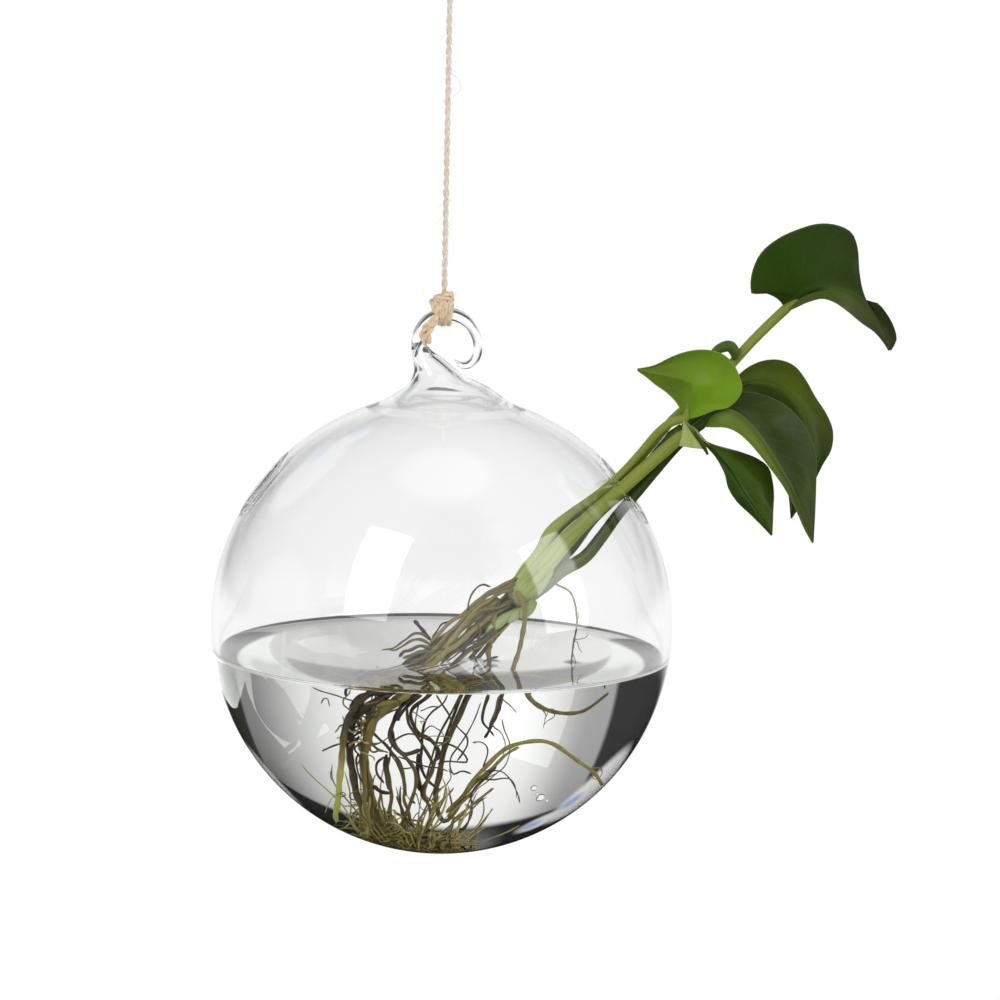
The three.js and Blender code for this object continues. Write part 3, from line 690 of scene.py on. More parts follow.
# Circle in which the hook's foot leaves the globe: radius, height, and angle from the top
FOOT_RADIUS = 19.5
FOOT_HEIGHT = 56.74
FOOT_ANGLE = math.asin(FOOT_RADIUS / OUTER_RADIUS)
# Flare of the hook's foot: height, left edge and right edge
FLARE = [
    (57.6, -17.4, 17.6), (58.5, -15.6, 16.0), (59.6, -13.8, 14.6), (60.7, -12.2, 13.0), (62.2, -10.4, 10.7),
    (63.4, -9.4, 8.2), (64.5, -8.8, 5.7), (65.6, -8.5, 3.8), (66.7, -8.4, 2.3), (68.2, -8.6, 0.5),
    (69.6, -8.9, -1.3), (71.2, -9.15, -3.6), (72.6, -9.25, -5.1),
]
# Hollow in the neck: thickness of its wall, height of its top, and length of the point in which it runs out
NECK_WALL = 1.3
HOLLOW_TOP = 71.0
HOLLOW_TIP = 4.6
# Rod of the ring: angle in degrees, distance from the ring's middle and rod radius
RING = [
    (180, 7.4, 1.83), (150, 7.3, 1.8), (120, 7.25, 1.8), (90, 7.3, 1.75), (60, 7.3, 1.55), (35, 7.4, 1.35),
    (10, 7.7, 1.25), (-10, 8.1, 1.2), (-26, 8.4, 1.15), (-40, 8.3, 1.1), (-50, 7.8, 1.1), (-57, 7.1, 1.15),
    (-62, 6.4, 1.2), (-65, 5.9, 1.0), (-67, 5.6, 0.6),
]


def mouth_axis(side):
    return np.array([side * math.cos(MOUTH_ELEVATION), 0, math.sin(MOUTH_ELEVATION)])


def mouth_frame(side):
    """Unit vectors of a mouth: out of it, across it, and up along its face."""
    across = np.array([0, 1.0, 0])
    return mouth_axis(side), across, np.cross(mouth_axis(side), across)


def ball_rows(radius, latitudes):
    """Rings of a ball, from its lowest latitude up. Angles are measured from the top."""
    turn = angles_round(SEGMENTS)
    rings = [level_ring(turn, radius * math.sin(angle), radius * math.cos(angle)) for angle in latitudes]
    return np.array(rings)


def neck_rings(inset=0.0):
    """Rings of the hook's foot and neck, or of the hollow inside it, which lies inset behind its skin."""
    turn = angles_round(SEGMENTS)
    edges = [(-FOOT_RADIUS, FOOT_RADIUS, FOOT_HEIGHT)]
    edges += [(left, right, height) for height, left, right in FLARE]
    rings = []
    for left, right, height in smooth_line(edges, 44):
        middle, half = (left + right) / 2, (right - left) / 2 - inset
        if inset and (half < 1.0 or height > HOLLOW_TOP):
            break
        depth = np.interp(half, [2, 12, 19], [1, 0.92, 1])
        level = np.full(SEGMENTS, height - 0.55 * inset)
        rings.append(np.column_stack([middle + np.cos(turn) * half, np.sin(turn) * half * depth, level]))
    return rings


def hook_rows():
    """Rings of the hook, from its flare on the globe to the curled tip."""
    turn = angles_round(SEGMENTS)
    rings = neck_rings()
    for angle, reach, rod in smooth_line(RING, 90):
        angle = math.radians(angle)
        outward = np.array([math.cos(angle), 0, math.sin(angle)])
        middle = outward * reach + [0, 0, RING_HEIGHT]
        rings.append(middle + rod * round_axes(turn, 1, -outward, [0, 1, 0]))
    return np.array(rings)


def hollow_rows():
    """Rings of the hollow in the hook's neck, which runs out in a point that leans with the neck."""
    rings = neck_rings(NECK_WALL)[2:]
    last = rings[-1]
    middle = last.mean(0)
    for share in (0.1, 0.2, 0.3, 0.4, 0.5, 0.6, 0.7, 0.8, 0.9, 0.97):
        lean = -0.9 * math.sin(0.5 * math.pi * share)
        rings.append(middle + (last - middle) * (1 - share) ** 0.9 + [lean, 0, HOLLOW_TIP * share])
    return np.array(rings)


def even_out(points, faces, loose, radius):
    """Moves the loose points of a ball to the middle of their neighbours, many times over."""
    neighbours = {i: set() for i in loose}
    for face in faces:
        for a, b in zip(face, face[1:] + face[:1]):
            if a in neighbours:
                neighbours[a].add(b)
            if b in neighbours:
                neighbours[b].add(a)
    for _ in range(30):
        moved = {i: points[list(neighbours[i])].mean(0) for i in loose}
        for i, spot in moved.items():
            points[i] = spot / np.linalg.norm(spot) * radius


def cut_mouth(points, faces, radius, edge, side):
    """Cuts a mouth in a ball's grid. Gives the faces left, and the mouth's edge in order with its angles."""
    axis, across, upward = mouth_frame(side)
    opening = math.asin(edge / radius)
    facing = unit(points) @ axis
    on_ball = np.abs(np.linalg.norm(points, axis=1) - radius) < 0.01
    inside = [facing[face].mean() > math.cos(opening) and on_ball[face].all() for face in faces]
    cut_points = {i for face, gone in zip(faces, inside) if gone for i in face}
    faces = [face for face, gone in zip(faces, inside) if not gone]
    kept_points = {i for face in faces for i in face}
    rim = np.array(sorted(cut_points & kept_points))
    turn = np.arctan2(points[rim] @ upward, points[rim] @ across)
    order = np.argsort(turn)
    rim, turn = rim[order], turn[order]
    even = turn[0] + angles_round(len(rim))
    even += (turn - even).mean()
    points[rim] = math.sqrt(radius**2 - edge**2) * axis + edge * round_axes(even, 1, across, upward)
    near = {i for i in np.nonzero(facing > math.cos(opening * 1.9))[0] if i in kept_points}
    even_out(points, faces, sorted(near - set(rim.tolist())), radius)
    return faces, (rim, even)


def ball_skin(rings, radius, edge):
    """A skin through rings, with both mouths cut in it: its points, its faces and the mouths' edges."""
    points, faces = capped(rings)
    rims = []
    for side in (1, -1):
        faces, rim = cut_mouth(points, faces, radius, edge, side)
        rims.append(rim)
    return points, faces, rims


def lip_rows(side, turns):
    """Rings of a mouth's rolled lip, from the outer skin round to the inner one."""
    axis, across, upward = mouth_frame(side)
    profile = [LIP_START]
    for angle in np.radians(np.linspace(-28, 208, 15)):
        profile.append((LIP_REACH - LIP_RADIUS * math.sin(angle), LIP_HEIGHT + LIP_RADIUS * math.cos(angle)))
    profile.append(LIP_END)
    return [height * axis + reach * round_axes(turns, 1, across, upward) for reach, height in profile]


def add_glass():
    """One closed body: the outer skin with the hook, the inner skin with its hollow, and the lips between.

    The inner skin bends light less where the water lies against it.
    """
    clear = clear_material("clear_glass", GLASS_IOR, GLASS_TINT, GLASS_WAVE)
    wetted = clear_material("wetted_glass", GLASS_IOR / WATER_IOR, GLASS_TINT, GLASS_WAVE)
    lips = clear_material("lip_glass", GLASS_IOR, GLASS_TINT, GLASS_WAVE, 0.6)
    clear_slot, wetted_slot, lip_slot = range(3)

    latitudes = np.linspace(LOWEST_RING, FOOT_ANGLE, SPHERE_ROWS)
    outer = np.vstack([ball_rows(OUTER_RADIUS, latitudes), hook_rows()[1:]])
    contact = math.acos(CONTACT_LEVEL / INNER_RADIUS)
    latitudes[np.argmin(np.abs(latitudes - contact))] = contact
    inner = np.vstack([ball_rows(INNER_RADIUS, latitudes), hollow_rows()])
    outer_points, outer_faces, outer_rims = ball_skin(outer, OUTER_RADIUS, OUTER_EDGE)
    inner_points, inner_faces, inner_rims = ball_skin(inner, INNER_RADIUS, INNER_EDGE)

    shape = Shape()
    shape.add(outer_points, outer_faces, clear_slot)
    start = shape.count
    shape.add(inner_points, [])
    for face in inner_faces:
        wet = (inner_points[face][:, 2] < CONTACT_LEVEL + 0.01).all()
        shape.add_faces([[i + start for i in face[::-1]]], wetted_slot if wet else clear_slot)
    for side, (outer_rim, turns), (inner_rim, _) in zip((1, -1), outer_rims, inner_rims):
        count = len(turns)
        loops = [outer_rim.tolist()]
        for ring in lip_rows(side, turns):
            loops.append(list(range(shape.count, shape.count + count)))
            shape.add(ring, [])
        loops.append((inner_rim + start).tolist())
        for near, far in zip(loops, loops[1:]):
            for j in range(count):
                k = (j + 1) % count
                shape.add_faces([[near[j], far[j], far[k], near[k]]], lip_slot)
    place(shape.build("glass_vase", clear, wetted, lips), "vase", "glass", "glass_globe", "glass_hook")


# Places where the plant breaks the water: across, away, rise and reach of the water's skin there
CLIMBS = [
    (33.6, -5.0, 0.8, 2.0), (13.6, -6.0, 0.8, 2.4), (6.0, -9.0, 0.35, 3.6), (0.0, -11.5, 0.35, 4.0),
    (-7.0, -14.0, 0.35, 3.4),
]
# How far in from the glass the water's rim runs out
RIM_REACH = 1.9
# Gap between the water's body and the glass, which keeps the two skins apart
SKIN_GAP = 0.05


def water_height(x, y):
    """Height of the water's skin: flat, with a rim that climbs the glass and the roots."""
    edge = math.sqrt(INNER_RADIUS**2 - CONTACT_LEVEL**2)
    height = WATER_LEVEL + (CONTACT_LEVEL - WATER_LEVEL) * np.exp(-(edge - np.hypot(x, y)) / RIM_REACH)
    for cx, cy, rise, wide in CLIMBS:
        height += rise * np.exp(-np.hypot(x - cx, y - cy) / wide * 1.6)
    return height


def add_water():
    """The water's body: a side against the glass, which bends nothing, and the surface above."""
    surface = clear_material("water", WATER_IOR, (0.99, 0.992, 0.982), 0.0)
    side = open_material()
    skin = INNER_RADIUS - SKIN_GAP
    edge = math.sqrt(skin**2 - CONTACT_LEVEL**2)
    turn = angles_round(SEGMENTS)
    rings = list(ball_rows(skin, np.linspace(LOWEST_RING, math.acos(CONTACT_LEVEL / skin), 40)))
    side_faces = (len(rings) - 1) * SEGMENTS
    for reach in np.concatenate([edge - np.geomspace(0.12, 6, 14), np.linspace(edge - 7, 0.4, 52)]):
        x, y = np.cos(turn) * reach, np.sin(turn) * reach
        rings.append(np.column_stack([x, y, water_height(x, y)]))
    surface_faces = (len(rings) - 1) * SEGMENTS - side_faces
    shape = Shape()
    shape.add_rings(np.array(rings))
    # The faces of both caps come last, one of the side and one of the surface in turn
    shape.slots = [1] * side_faces + [0] * surface_faces + [1, 0] * SEGMENTS
    place(shape.build("water", surface, side), "vase", "glass")


# Middle and radius of each bubble
BUBBLES = [
    (21.6, -24, -33.5, 0.8), (23.6, -24, -36.4, 1.15), (22.4, -23, -35.1, 0.4), (25.4, -24, -37.6, 0.45),
]


def add_bubbles():
    """A few bubbles of air that cling to the glass under water."""
    air = clear_material("bubble", BUBBLE_IOR, (1.0, 1.0, 1.0), 0.0)
    turn = angles_round(24)
    shape = Shape()
    for x, y, z, size in BUBBLES:
        angles = np.linspace(0.05, math.pi - 0.05, 14)
        rings = [level_ring(turn, size * math.sin(angle), -size * math.cos(angle)) for angle in angles]
        shape.add_rings(np.array(rings) + [x, y, z])
    place(shape.build("bubbles", air), "vase", "glass")


add_glass()
add_water()
add_bubbles()


# Cutting

# The line along which the cutting is drawn out of the right mouth
DRAW_ANGLE = math.radians(48)
DRAW_LINE = np.array([math.cos(DRAW_ANGLE), 0, math.sin(DRAW_ANGLE)])
DRAW_NORMAL = np.array([-math.sin(DRAW_ANGLE), 0, math.cos(DRAW_ANGLE)])
MOUTH_CENTRE = mouth_axis(1) * 59.2


def on_draw_line(s, n, y):
    """A point along the line that the cutting is drawn out on, across it and away."""
    point = MOUTH_CENTRE + DRAW_LINE * s + DRAW_NORMAL * n
    return np.array([point[0], y, point[2]])


def from_mouth(points):
    """Points that are told from the mouth's centre."""
    return np.array(points, float) + [MOUTH_CENTRE[0], 0, MOUTH_CENTRE[2]]


# Leaves, told from the mouth's centre: the line of each midrib and of its blade's two edges
# Each leaf's corner colours hold painted light and shade along with its green
LEAVES = [
    dict(
        slot="leaf", camber=1.4, gloss=0.26, under=(0.08, 0.12, 0.03),
        corners=((0.024, 0.062, 0.001), (0.010, 0.018, 0.002), (0.130, 0.165, 0.030), (0.030, 0.036, 0.010)),
        midrib=[(41.5, 9.2, 46.9), (43.8, 8.2, 48.9), (46.8, 7, 50.9), (50.5, 5.8, 52.1), (54.4, 4.8, 52.5),
            (58.2, 3.6, 51.4), (61.7, 2.6, 48.7), (64.8, 1.8, 44.4), (68, 1, 37.4)],
        left=[(40.8, 9.6, 47.2), (39.8, 9, 48.7), (37.4, 7, 50.4), (34.4, 4.6, 51.3), (32, 3, 51),
            (31.5, 2.4, 53.4), (31.9, 2, 57.3), (34, 2.2, 61.9), (38.5, 3.6, 65.6), (43.4, 5.4, 67.8),
            (49, 7.2, 69.3), (54, 8.6, 68.9), (57.8, 9.2, 67), (59.4, 9, 63.5), (59.8, 8.2, 59.4),
            (60.1, 7, 54.8), (61.7, 5.2, 50), (64.6, 4, 49.3), (66.8, 3.2, 47), (68.9, 2.4, 43.5),
            (69.7, 1.6, 40), (68.3, 1, 37.3)],
        right=[(42.2, 8.6, 46.4), (43.6, 4.6, 47.6), (46.4, 0.6, 49.5), (49.9, -2.2, 50.7),
            (52.8, -3.6, 50), (56.2, -3.8, 47.8), (60.1, -3, 44.7), (63.7, -1.6, 42.2), (66.1, -0.4, 39.5),
            (67.7, 0.8, 37.2)],
    ),
    dict(
        slot="young_leaf", camber=1.2, gloss=0.16, under=(0.24, 0.34, 0.05),
        corners=((0.140, 0.260, 0.008), (0.110, 0.185, 0.008), (0.165, 0.320, 0.008), (0.110, 0.200, 0.010)),
        midrib=[(15.1, -6.6, 19.5), (15.5, -7.6, 22.7), (16.3, -8.8, 26), (16.3, -9.4, 28.5),
            (14.5, -9.4, 29.7), (11.4, -9, 30.4), (7.7, -8, 30.9), (2.5, -6.2, 31.8)],
        left=[(14.8, -6.6, 19.7), (13.9, -6.4, 21.5), (12.2, -6.2, 23.9), (9.9, -6.4, 26.1),
            (7.1, -6.6, 28), (4.6, -6.4, 30), (2.3, -6, 31.5)],
        right=[(15.6, -6.8, 19.2), (18.9, -7.2, 20.2), (22.5, -6.8, 21.7), (26, -5.6, 22.3),
            (28.7, -4.6, 24.6), (29.7, -4, 27.2), (28.8, -4, 30.6), (27.2, -4.6, 33.6), (24.8, -5.6, 35.9),
            (21.3, -6.8, 37.2), (17.8, -7.8, 37.4), (14.4, -8.4, 36.8), (11, -8.4, 35.5), (6.6, -7.4, 33.1),
            (2.3, -6.4, 32)],
    ),
    dict(
        slot="leaf", camber=1.8, gloss=0.2, under=(0.12, 0.17, 0.04),
        corners=((0.095, 0.145, 0.006), (0.012, 0.022, 0.002), (0.012, 0.026, 0.002), (0.018, 0.032, 0.003)),
        midrib=[(26.6, 8.9, 25), (30.6, 10.6, 26.5), (35.7, 12.4, 26.8), (41, 13.4, 25.3),
            (45.3, 12.6, 20.9), (47.8, 11, 14.8), (48.3, 9.4, 7.9), (46.6, 7.8, 0.3), (44.2, 6.4, -7.9)],
        left=[(26.4, 8.9, 25.7), (29.3, 9.6, 28.9), (32.3, 11, 31.2), (36.2, 12.6, 32.7), (40.5, 14, 32.8),
            (44.5, 14.8, 31.2), (47.4, 15, 27.8), (50.3, 14.8, 23), (53.2, 14.2, 18.8), (54.9, 13.2, 14.6),
            (54.6, 12, 9.8), (52.3, 10.8, 5.7), (49.9, 9.4, 0.9), (47, 7.8, -3.9), (44.3, 6.4, -8)],
        right=[(26.9, 8.9, 24.5), (29.5, 8.4, 23.2), (32.4, 8.2, 20.4), (36.4, 8.2, 15.6), (39.7, 8, 10),
            (42.1, 7.6, 3.8), (43.4, 7, -2.5), (44, 6.4, -7.8)],
    ),
    dict(
        slot="leaf", camber=1.8, gloss=0.2, under=(0.15, 0.21, 0.05),
        corners=((0.007, 0.019, 0.001), (0.020, 0.036, 0.002), (0.180, 0.270, 0.030), (0.050, 0.080, 0.008)),
        midrib=[(19.5, -2.6, 17.5), (22.1, -3.4, 20.7), (25.5, -4.4, 21.7), (28.8, -5.4, 20.6),
            (31.6, -6.2, 18.3), (34.4, -6.8, 15), (37.2, -7.2, 10.9), (40.1, -7.2, 6.4), (43.1, -6.6, 1.5),
            (46.4, -4.6, -5.6), (49.3, -2, -12.9)],
        left=[(19.3, -2.4, 18), (22.8, 0, 22.2), (27.7, 2.2, 25.1), (32.7, 3.6, 25.4), (39, 4.2, 23.5),
            (43.3, 4.4, 20.8), (46.6, 4.4, 17.1), (48.8, 4, 12.8), (50, 3.2, 8.4), (50, 1.6, 1.9),
            (49.8, -0.4, -5.5), (49.5, -1.8, -12.9)],
        right=[(19.7, -3, 16.9), (22.6, -5.6, 17.2), (25.6, -7.6, 17.4), (28.3, -9, 16.5),
            (30.9, -9.8, 14.5), (33.7, -10.4, 11.6), (36.5, -10.6, 8.2), (39.4, -10.2, 4.6),
            (42.3, -8.8, 0.1), (44.8, -6.8, -4.8), (47.2, -4.2, -9.8), (49.2, -2.2, -13.1)],
    ),
    dict(
        slot="leaf", camber=0.8, gloss=0.14, under=(0.10, 0.15, 0.03),
        corners=((0.022, 0.060, 0.002), (0.028, 0.062, 0.003), (0.070, 0.125, 0.012), (0.055, 0.095, 0.010)),
        midrib=[(16.8, -6.4, 15.8), (19.9, -6.8, 13.7), (23.4, -7.4, 10.3), (27, -7.8, 6.3),
            (30.6, -7.6, 1.1), (34.6, -6.8, -4.6), (38.2, -6, -10.6)],
        left=[(16.5, -6.8, 16.1), (18.6, -7.6, 14.3), (20.9, -8.2, 12.1), (23.1, -8.8, 9.7),
            (25.4, -9.2, 5.6), (26.5, -9.2, 1.8), (28.8, -8.6, -1.7), (32.3, -7.6, -5), (35.8, -6.6, -8.4),
            (38.1, -6, -10.8)],
        right=[(17.3, -6, 15.9), (20.7, -5.4, 13.2), (24.9, -4.4, 11.9), (29.9, -3.4, 10.5),
            (34.3, -3, 8.8), (37.1, -3.4, 6.6), (38.2, -4, 3.2), (38.6, -4.6, -0.2), (38.5, -5.4, -5),
            (38.4, -5.9, -10.6)],
    ),
]


def leaf_mesh(leaf, number):
    """A leaf blade with a soft swell between its veins, thick at the midrib and thin at the rim."""
    rows, half_columns = 56, 14
    mid, left, right = (smooth_line(from_mouth(leaf[name]), rows) for name in ("midrib", "left", "right"))
    lift = unit(np.cross(unit(np.gradient(mid, axis=0)), right - left))
    across = np.linspace(-1, 1, 2 * half_columns + 1)
    across = np.sign(across) * (1 - (1 - np.abs(across)) ** 1.35)
    columns = len(across)
    beside = np.abs(across)[None]
    t = np.linspace(0, 1, rows)[:, None]

    edge = np.where((across < 0)[None, :, None], left[:, None], right[:, None])
    width = np.linalg.norm(edge - mid[:, None], axis=2)
    bow = leaf["camber"] * np.sin(math.pi * beside) * np.minimum(1, width / 10)
    ripple = 0.16 * np.sin(VEINS * math.pi * t - VEIN_LEAN * math.pi * beside + number) * beside
    ripple = (ripple + 0.35 * np.sin(5 * t + 2 * across[None] + number)) * np.sin(math.pi * beside)
    groove = -0.25 * np.exp(-((beside / 0.05) ** 2)) * np.sin(math.pi * t)
    grid = mid[:, None] + (edge - mid[:, None]) * beside[..., None]
    grid = grid + lift[:, None] * (bow + ripple * np.minimum(1, width / 8) + groove)[..., None]
    normals = unit(np.cross(np.gradient(grid, axis=0), np.gradient(grid, axis=1)))
    half = 0.10 + 0.16 * (1 - beside**2) + 0.22 * np.exp(-((beside / 0.07) ** 2)) * (1 - 0.7 * t)
    upper = grid - normals * (half * 0.8)[..., None]
    lower = grid + normals * half[..., None]

    shape = Shape()
    faces = [
        [i * columns + j, i * columns + j + 1, (i + 1) * columns + j + 1, (i + 1) * columns + j]
        for i in range(rows - 1)
        for j in range(columns - 1)
    ]
    size = grid.shape[:2]
    values = dict(along=np.broadcast_to(t, size), across=np.broadcast_to(across[None], size))
    shape.add(lower, faces, under=0.0, **values)
    offset = shape.count
    shape.add(upper, [face[::-1] for face in faces], under=1.0, **values)
    rim = list(range(columns))
    rim += [i * columns + columns - 1 for i in range(1, rows)]
    rim += [(rows - 1) * columns + j for j in range(columns - 2, -1, -1)]
    rim += [i * columns for i in range(rows - 2, 0, -1)]
    shape.add_faces([[b, a, a + offset, b + offset] for a, b in zip(rim, rim[1:] + rim[:1])], 0)
    return shape


# Routes of the stalks from the crown to their leaves, along the draw line, across it and away
STALK_ROUTES = [
    [(-22.9, 5, 2), (-16, 4.8, 2.2), (-8.5, 3.3, 2.4), (-0.1, 2.1, 2.6), (8, 2, 3.2), (15.6, 2.4, 4),
     (21.9, 2.6, 4.8), (30.2, 1.7, 6), (39.8, 1.1, 7.2), (50.1, 1.2, 8.2), (57.9, 0.9, 8.8)],
    [(-21.4, 6, -0.6), (-14.6, 5.5, -0.4), (-7.2, 4.1, -0.3), (1, 3.2, -0.6), (9.2, 3.4, -1.8),
     (16.7, 4, -3.4), (20.8, 3.6, -4.7)],
    [(-20.4, -0.6, 2.2), (-12.2, 0.3, 2.2), (-4.5, -0.2, 2.6), (2.3, -1.4, 3.4), (10.4, -1.6, 4.6),
     (18.5, -1.7, 6), (26.8, -1.6, 7.4)],
    [(-20.2, -4.8, -1), (-13, -4.3, -1.2), (-6.1, -3.4, -1.2), (0.9, -3.1, -1), (9, -2.6, -0.8),
     (16.4, -2.2, -1.2), (22.3, -2.3, -1.9)],
    [(-21.8, 1.9, -2.4), (-11.9, 1.7, -2.8), (-3.5, 1, -3), (5.8, 0.3, -3.4), (14.2, -0.3, -4.4),
     (19.6, -0.8, -5.4)],
]
# Where each stalk leaves the crown, across the draw line and away
STALK_FEET = [(2.6, 1.7), (4.3, -1), (-0.6, 2.6), (-2.9, -0.6), (1.7, -3.2)]
# Radius of each stalk in the crown, above the crown, and at its head
STALK_RADII = [(1.7, 1.1, 1.3), (1.8, 1.1, 1.1), (1.9, 1.5, 1.3), (1.7, 1.4, 1.3), (2.4, 1.75, 1.6)]
DARK_STALKS = (3, 4)
# Both ends of the crown along the draw line, and its middle across it and away
CROWN_TOP = -29.0
CROWN_BOTTOM = -41.0
CROWN_MIDDLE = (0.8, -0.4)
CROWN_RADIUS = 5.4
# Share of the way up the crown, and its girth there as a share of its radius
CROWN_GIRTHS = [
    (-0.05, 0.35), (0.0, 0.6), (0.08, 0.72), (0.25, 0.78), (0.5, 0.78), (0.8, 0.72), (1.0, 0.6), (1.1, 0.4),
]
# Green side shoots at the crown's lower end: route and radii
CROWN_SHOOTS = [
    ([(19.7, -2.3, 4.4), (16.4, -4.5, 2.6), (13.3, -6.4, 0.4), (12.2, -6.8, -1.3), (11.6, -7, -3.1)],
      (0.7, 0.9, 1.3, 1.6, 1.3, 0.5)),
    ([(23.9, -3.7, 7.1), (22.6, -3.7, 5.3), (21.5, -3.7, 3.9), (20.5, -3.7, 2.4)],
      (1.0, 1.5, 1.7, 1.5, 0.6)),
    ([(20.9, -3.1, 4.8), (19.4, -3.5, 3.4), (18.2, -4.3, 2.3), (17.2, -5, 1.3)], (0.7, 1.1, 1.2, 1.0, 0.5)),
]
# Sheath at the near stalk's head: its left edge, its right edge and the dark rim along the right one
SHEATH_LEFT = [
    (14.3, -9.6, 19.3), (14.2, -9.6, 16.8), (13.9, -9.4, 14.5), (13.6, -9.2, 13.4), (13.4, -9.0, 12.6),
]
SHEATH_RIGHT = [
    (14.5, -9.6, 19.3), (15.8, -10.2, 17.8), (17.5, -10.4, 15.5), (19.4, -10.2, 12.9), (19.9, -10.0, 12.0),
]
SHEATH_RIM = [
    (14.5, -9.8, 19.4), (15.9, -10.4, 17.9), (17.8, -10.6, 15.5), (19.4, -10.4, 13.3), (20.9, -9.6, 10.6),
]
SHEATH_RIM_RADII = ([0, 0.2, 0.8, 1], [0.2, 0.5, 0.55, 0.3])
# Dark stipule between the near stalks
STIPULE = [
    (4.0, -0.8, 4.0), (7.0, -1.6, 7.5), (9.4, -2.4, 10.6), (11.7, -3.4, 13.4), (14.1, -5.0, 17.2),
]
STIPULE_RADII = ([0, 0.3, 0.8, 1], [0.4, 1.6, 1.9, 0.7])
# Rolled scale beside the top leaf's stalk: its arch, and its radius there
BRACT_ARCH = [
    ((21.5, 4.6, 33.2), 0.5), ((22.0, 4.6, 34.5), 0.9), ((23.2, 4.9, 35.8), 1.2), ((24.8, 5.3, 36.7), 1.4),
    ((26.7, 5.7, 37.0), 1.5), ((27.9, 5.9, 35.8), 1.4), ((28.3, 5.9, 33.7), 0.8),
]


def add_leaves():
    for number, leaf in enumerate(LEAVES, 1):
        look = leaf_material(f"leaf_{number}_skin", leaf["corners"], leaf["under"], leaf["gloss"])
        blade = leaf_mesh(leaf, number).build(f"blade_{number}", look)
        place(blade, "cutting", leaf["slot"], f"leaf_{number}")


def add_stem(shape, line, radii, number, slot=0):
    """A juicy stem with faint ridges, from its foot to its head."""
    sides = 20
    rings = tube(line, radii, sides, 3, 0.035, 0.0)
    along = np.linspace(0, 1, len(line))[:, None]
    shape.add_rings(rings, slot, around=angles_round(sides) + number, along=along)


def add_sheath(shape):
    """The pale wing that joins the near stalk to its leaf, its dark rim, and the stipule below."""
    left, right = smooth_line(from_mouth(SHEATH_LEFT), 30), smooth_line(from_mouth(SHEATH_RIGHT), 30)
    turn = angles_round(20)
    middle, half = (left + right) / 2, (right - left) / 2
    depth = 0.15 + 0.22 * np.linalg.norm(half, axis=1)
    rings = middle[:, None] + half[:, None] * np.cos(turn)[None, :, None]
    rings[:, :, 1] += np.sin(turn) * depth[:, None]
    shape.add_rings(rings, around=turn, along=0.15)
    dark = ((SHEATH_RIM, SHEATH_RIM_RADII), (STIPULE, STIPULE_RADII))
    for number, (route, (shares, radii)) in enumerate(dark, 2):
        reach = np.interp(np.linspace(0, 1, 30), shares, radii)
        add_stem(shape, smooth_line(from_mouth(route), 30), reach, number, 1)


def in_crown(s, foot, share):
    """A point in the crown, that share of the way from its middle line to a stalk's foot."""
    middle_n, middle_y = CROWN_MIDDLE
    return on_draw_line(s, middle_n + (foot[0] - middle_n) * share, middle_y + (foot[1] - middle_y) * share)


def add_stalks():
    """The stalks, each from the crown through the mouth to its leaf and on as the midrib's foot."""
    light = stem_material("light_stalk", (0.44, 0.52, 0.18), (0.25, 0.30, 0.045), (0.14, 0.19, 0.02))
    dark = stem_material("dark_stalk", (0.20, 0.26, 0.08), (0.042, 0.066, 0.005), (0.02, 0.035, 0.004))
    stalks = zip(STALK_ROUTES, STALK_FEET, STALK_RADII, LEAVES)
    for number, (route, foot, (thick, thin, head), leaf) in enumerate(stalks, 1):
        points = [in_crown(CROWN_BOTTOM + 3, foot, 0.55), in_crown(CROWN_TOP - 4, foot, 0.85)]
        points.append(on_draw_line(CROWN_TOP + 1.9, *foot))
        points += [on_draw_line(*spot) for spot in route]
        midrib = from_mouth(leaf["midrib"])
        line = smooth_line([*points, midrib[0]], 110)
        rib = smooth_line(midrib, 60)[1:14]
        along = (line - MOUTH_CENTRE) @ DRAW_LINE
        girths = [thick * 1.05, thick * 1.05, thin * 1.15, thin, head]
        radii = np.interp(along, [CROWN_BOTTOM, -26, -14, -4, 60], girths)
        radii = np.concatenate([radii, np.geomspace(0.85 * radii[-1], 0.18, len(rib))])
        shape = Shape()
        add_stem(shape, np.vstack([line, rib]), radii, number)
        if number == len(STALK_ROUTES):
            add_sheath(shape)
        green = dark if number in DARK_STALKS else light
        place(shape.build(f"stalk_{number}", green, dark), "cutting", "stalk", f"leaf_stalk_{number}")


def add_crown():
    """The pale foot where the stalks join, with soft folds, and its side shoots."""
    pale = stem_material("crown", (0.30, 0.34, 0.15), (0.42, 0.50, 0.22), (0.20, 0.22, 0.09))
    turn = angles_round(64)
    rows = smooth_line([(*row, 0.0) for row in CROWN_GIRTHS], 40)[:, :2]
    rings = []
    for share, girth in rows:
        centre = on_draw_line(CROWN_BOTTOM + (CROWN_TOP - CROWN_BOTTOM) * share, *CROWN_MIDDLE)
        fold = 1 - 0.10 * np.abs(np.sin(2.5 * turn + 1.2 * share)) ** 6
        rings.append(centre + round_axes(turn, CROWN_RADIUS * girth * fold, DRAW_NORMAL, [0, -1, 0]))
    shape = Shape()
    shape.add_rings(np.array(rings), around=turn, along=rows[:, :1])
    for route, radii in CROWN_SHOOTS:
        add_stem(shape, smooth_line(route, 30), spread_over(radii, 30), 1)
    place(shape.build("crown_sheath", pale), "cutting", "crown", "crown")


def add_bract():
    """The rolled scale beside the top leaf's stalk."""
    tender = stem_material("bract", (0.10, 0.16, 0.02), (0.07, 0.12, 0.015), (0.03, 0.05, 0.008))
    arch = from_mouth(smooth_line([spot for spot, _ in BRACT_ARCH], 40))
    shape = Shape()
    add_stem(shape, arch, spread_over([radius for _, radius in BRACT_ARCH], 40), 2)
    place(shape.build("bract_scale", tender), "cutting", "young_leaf", "bract")


# Roots

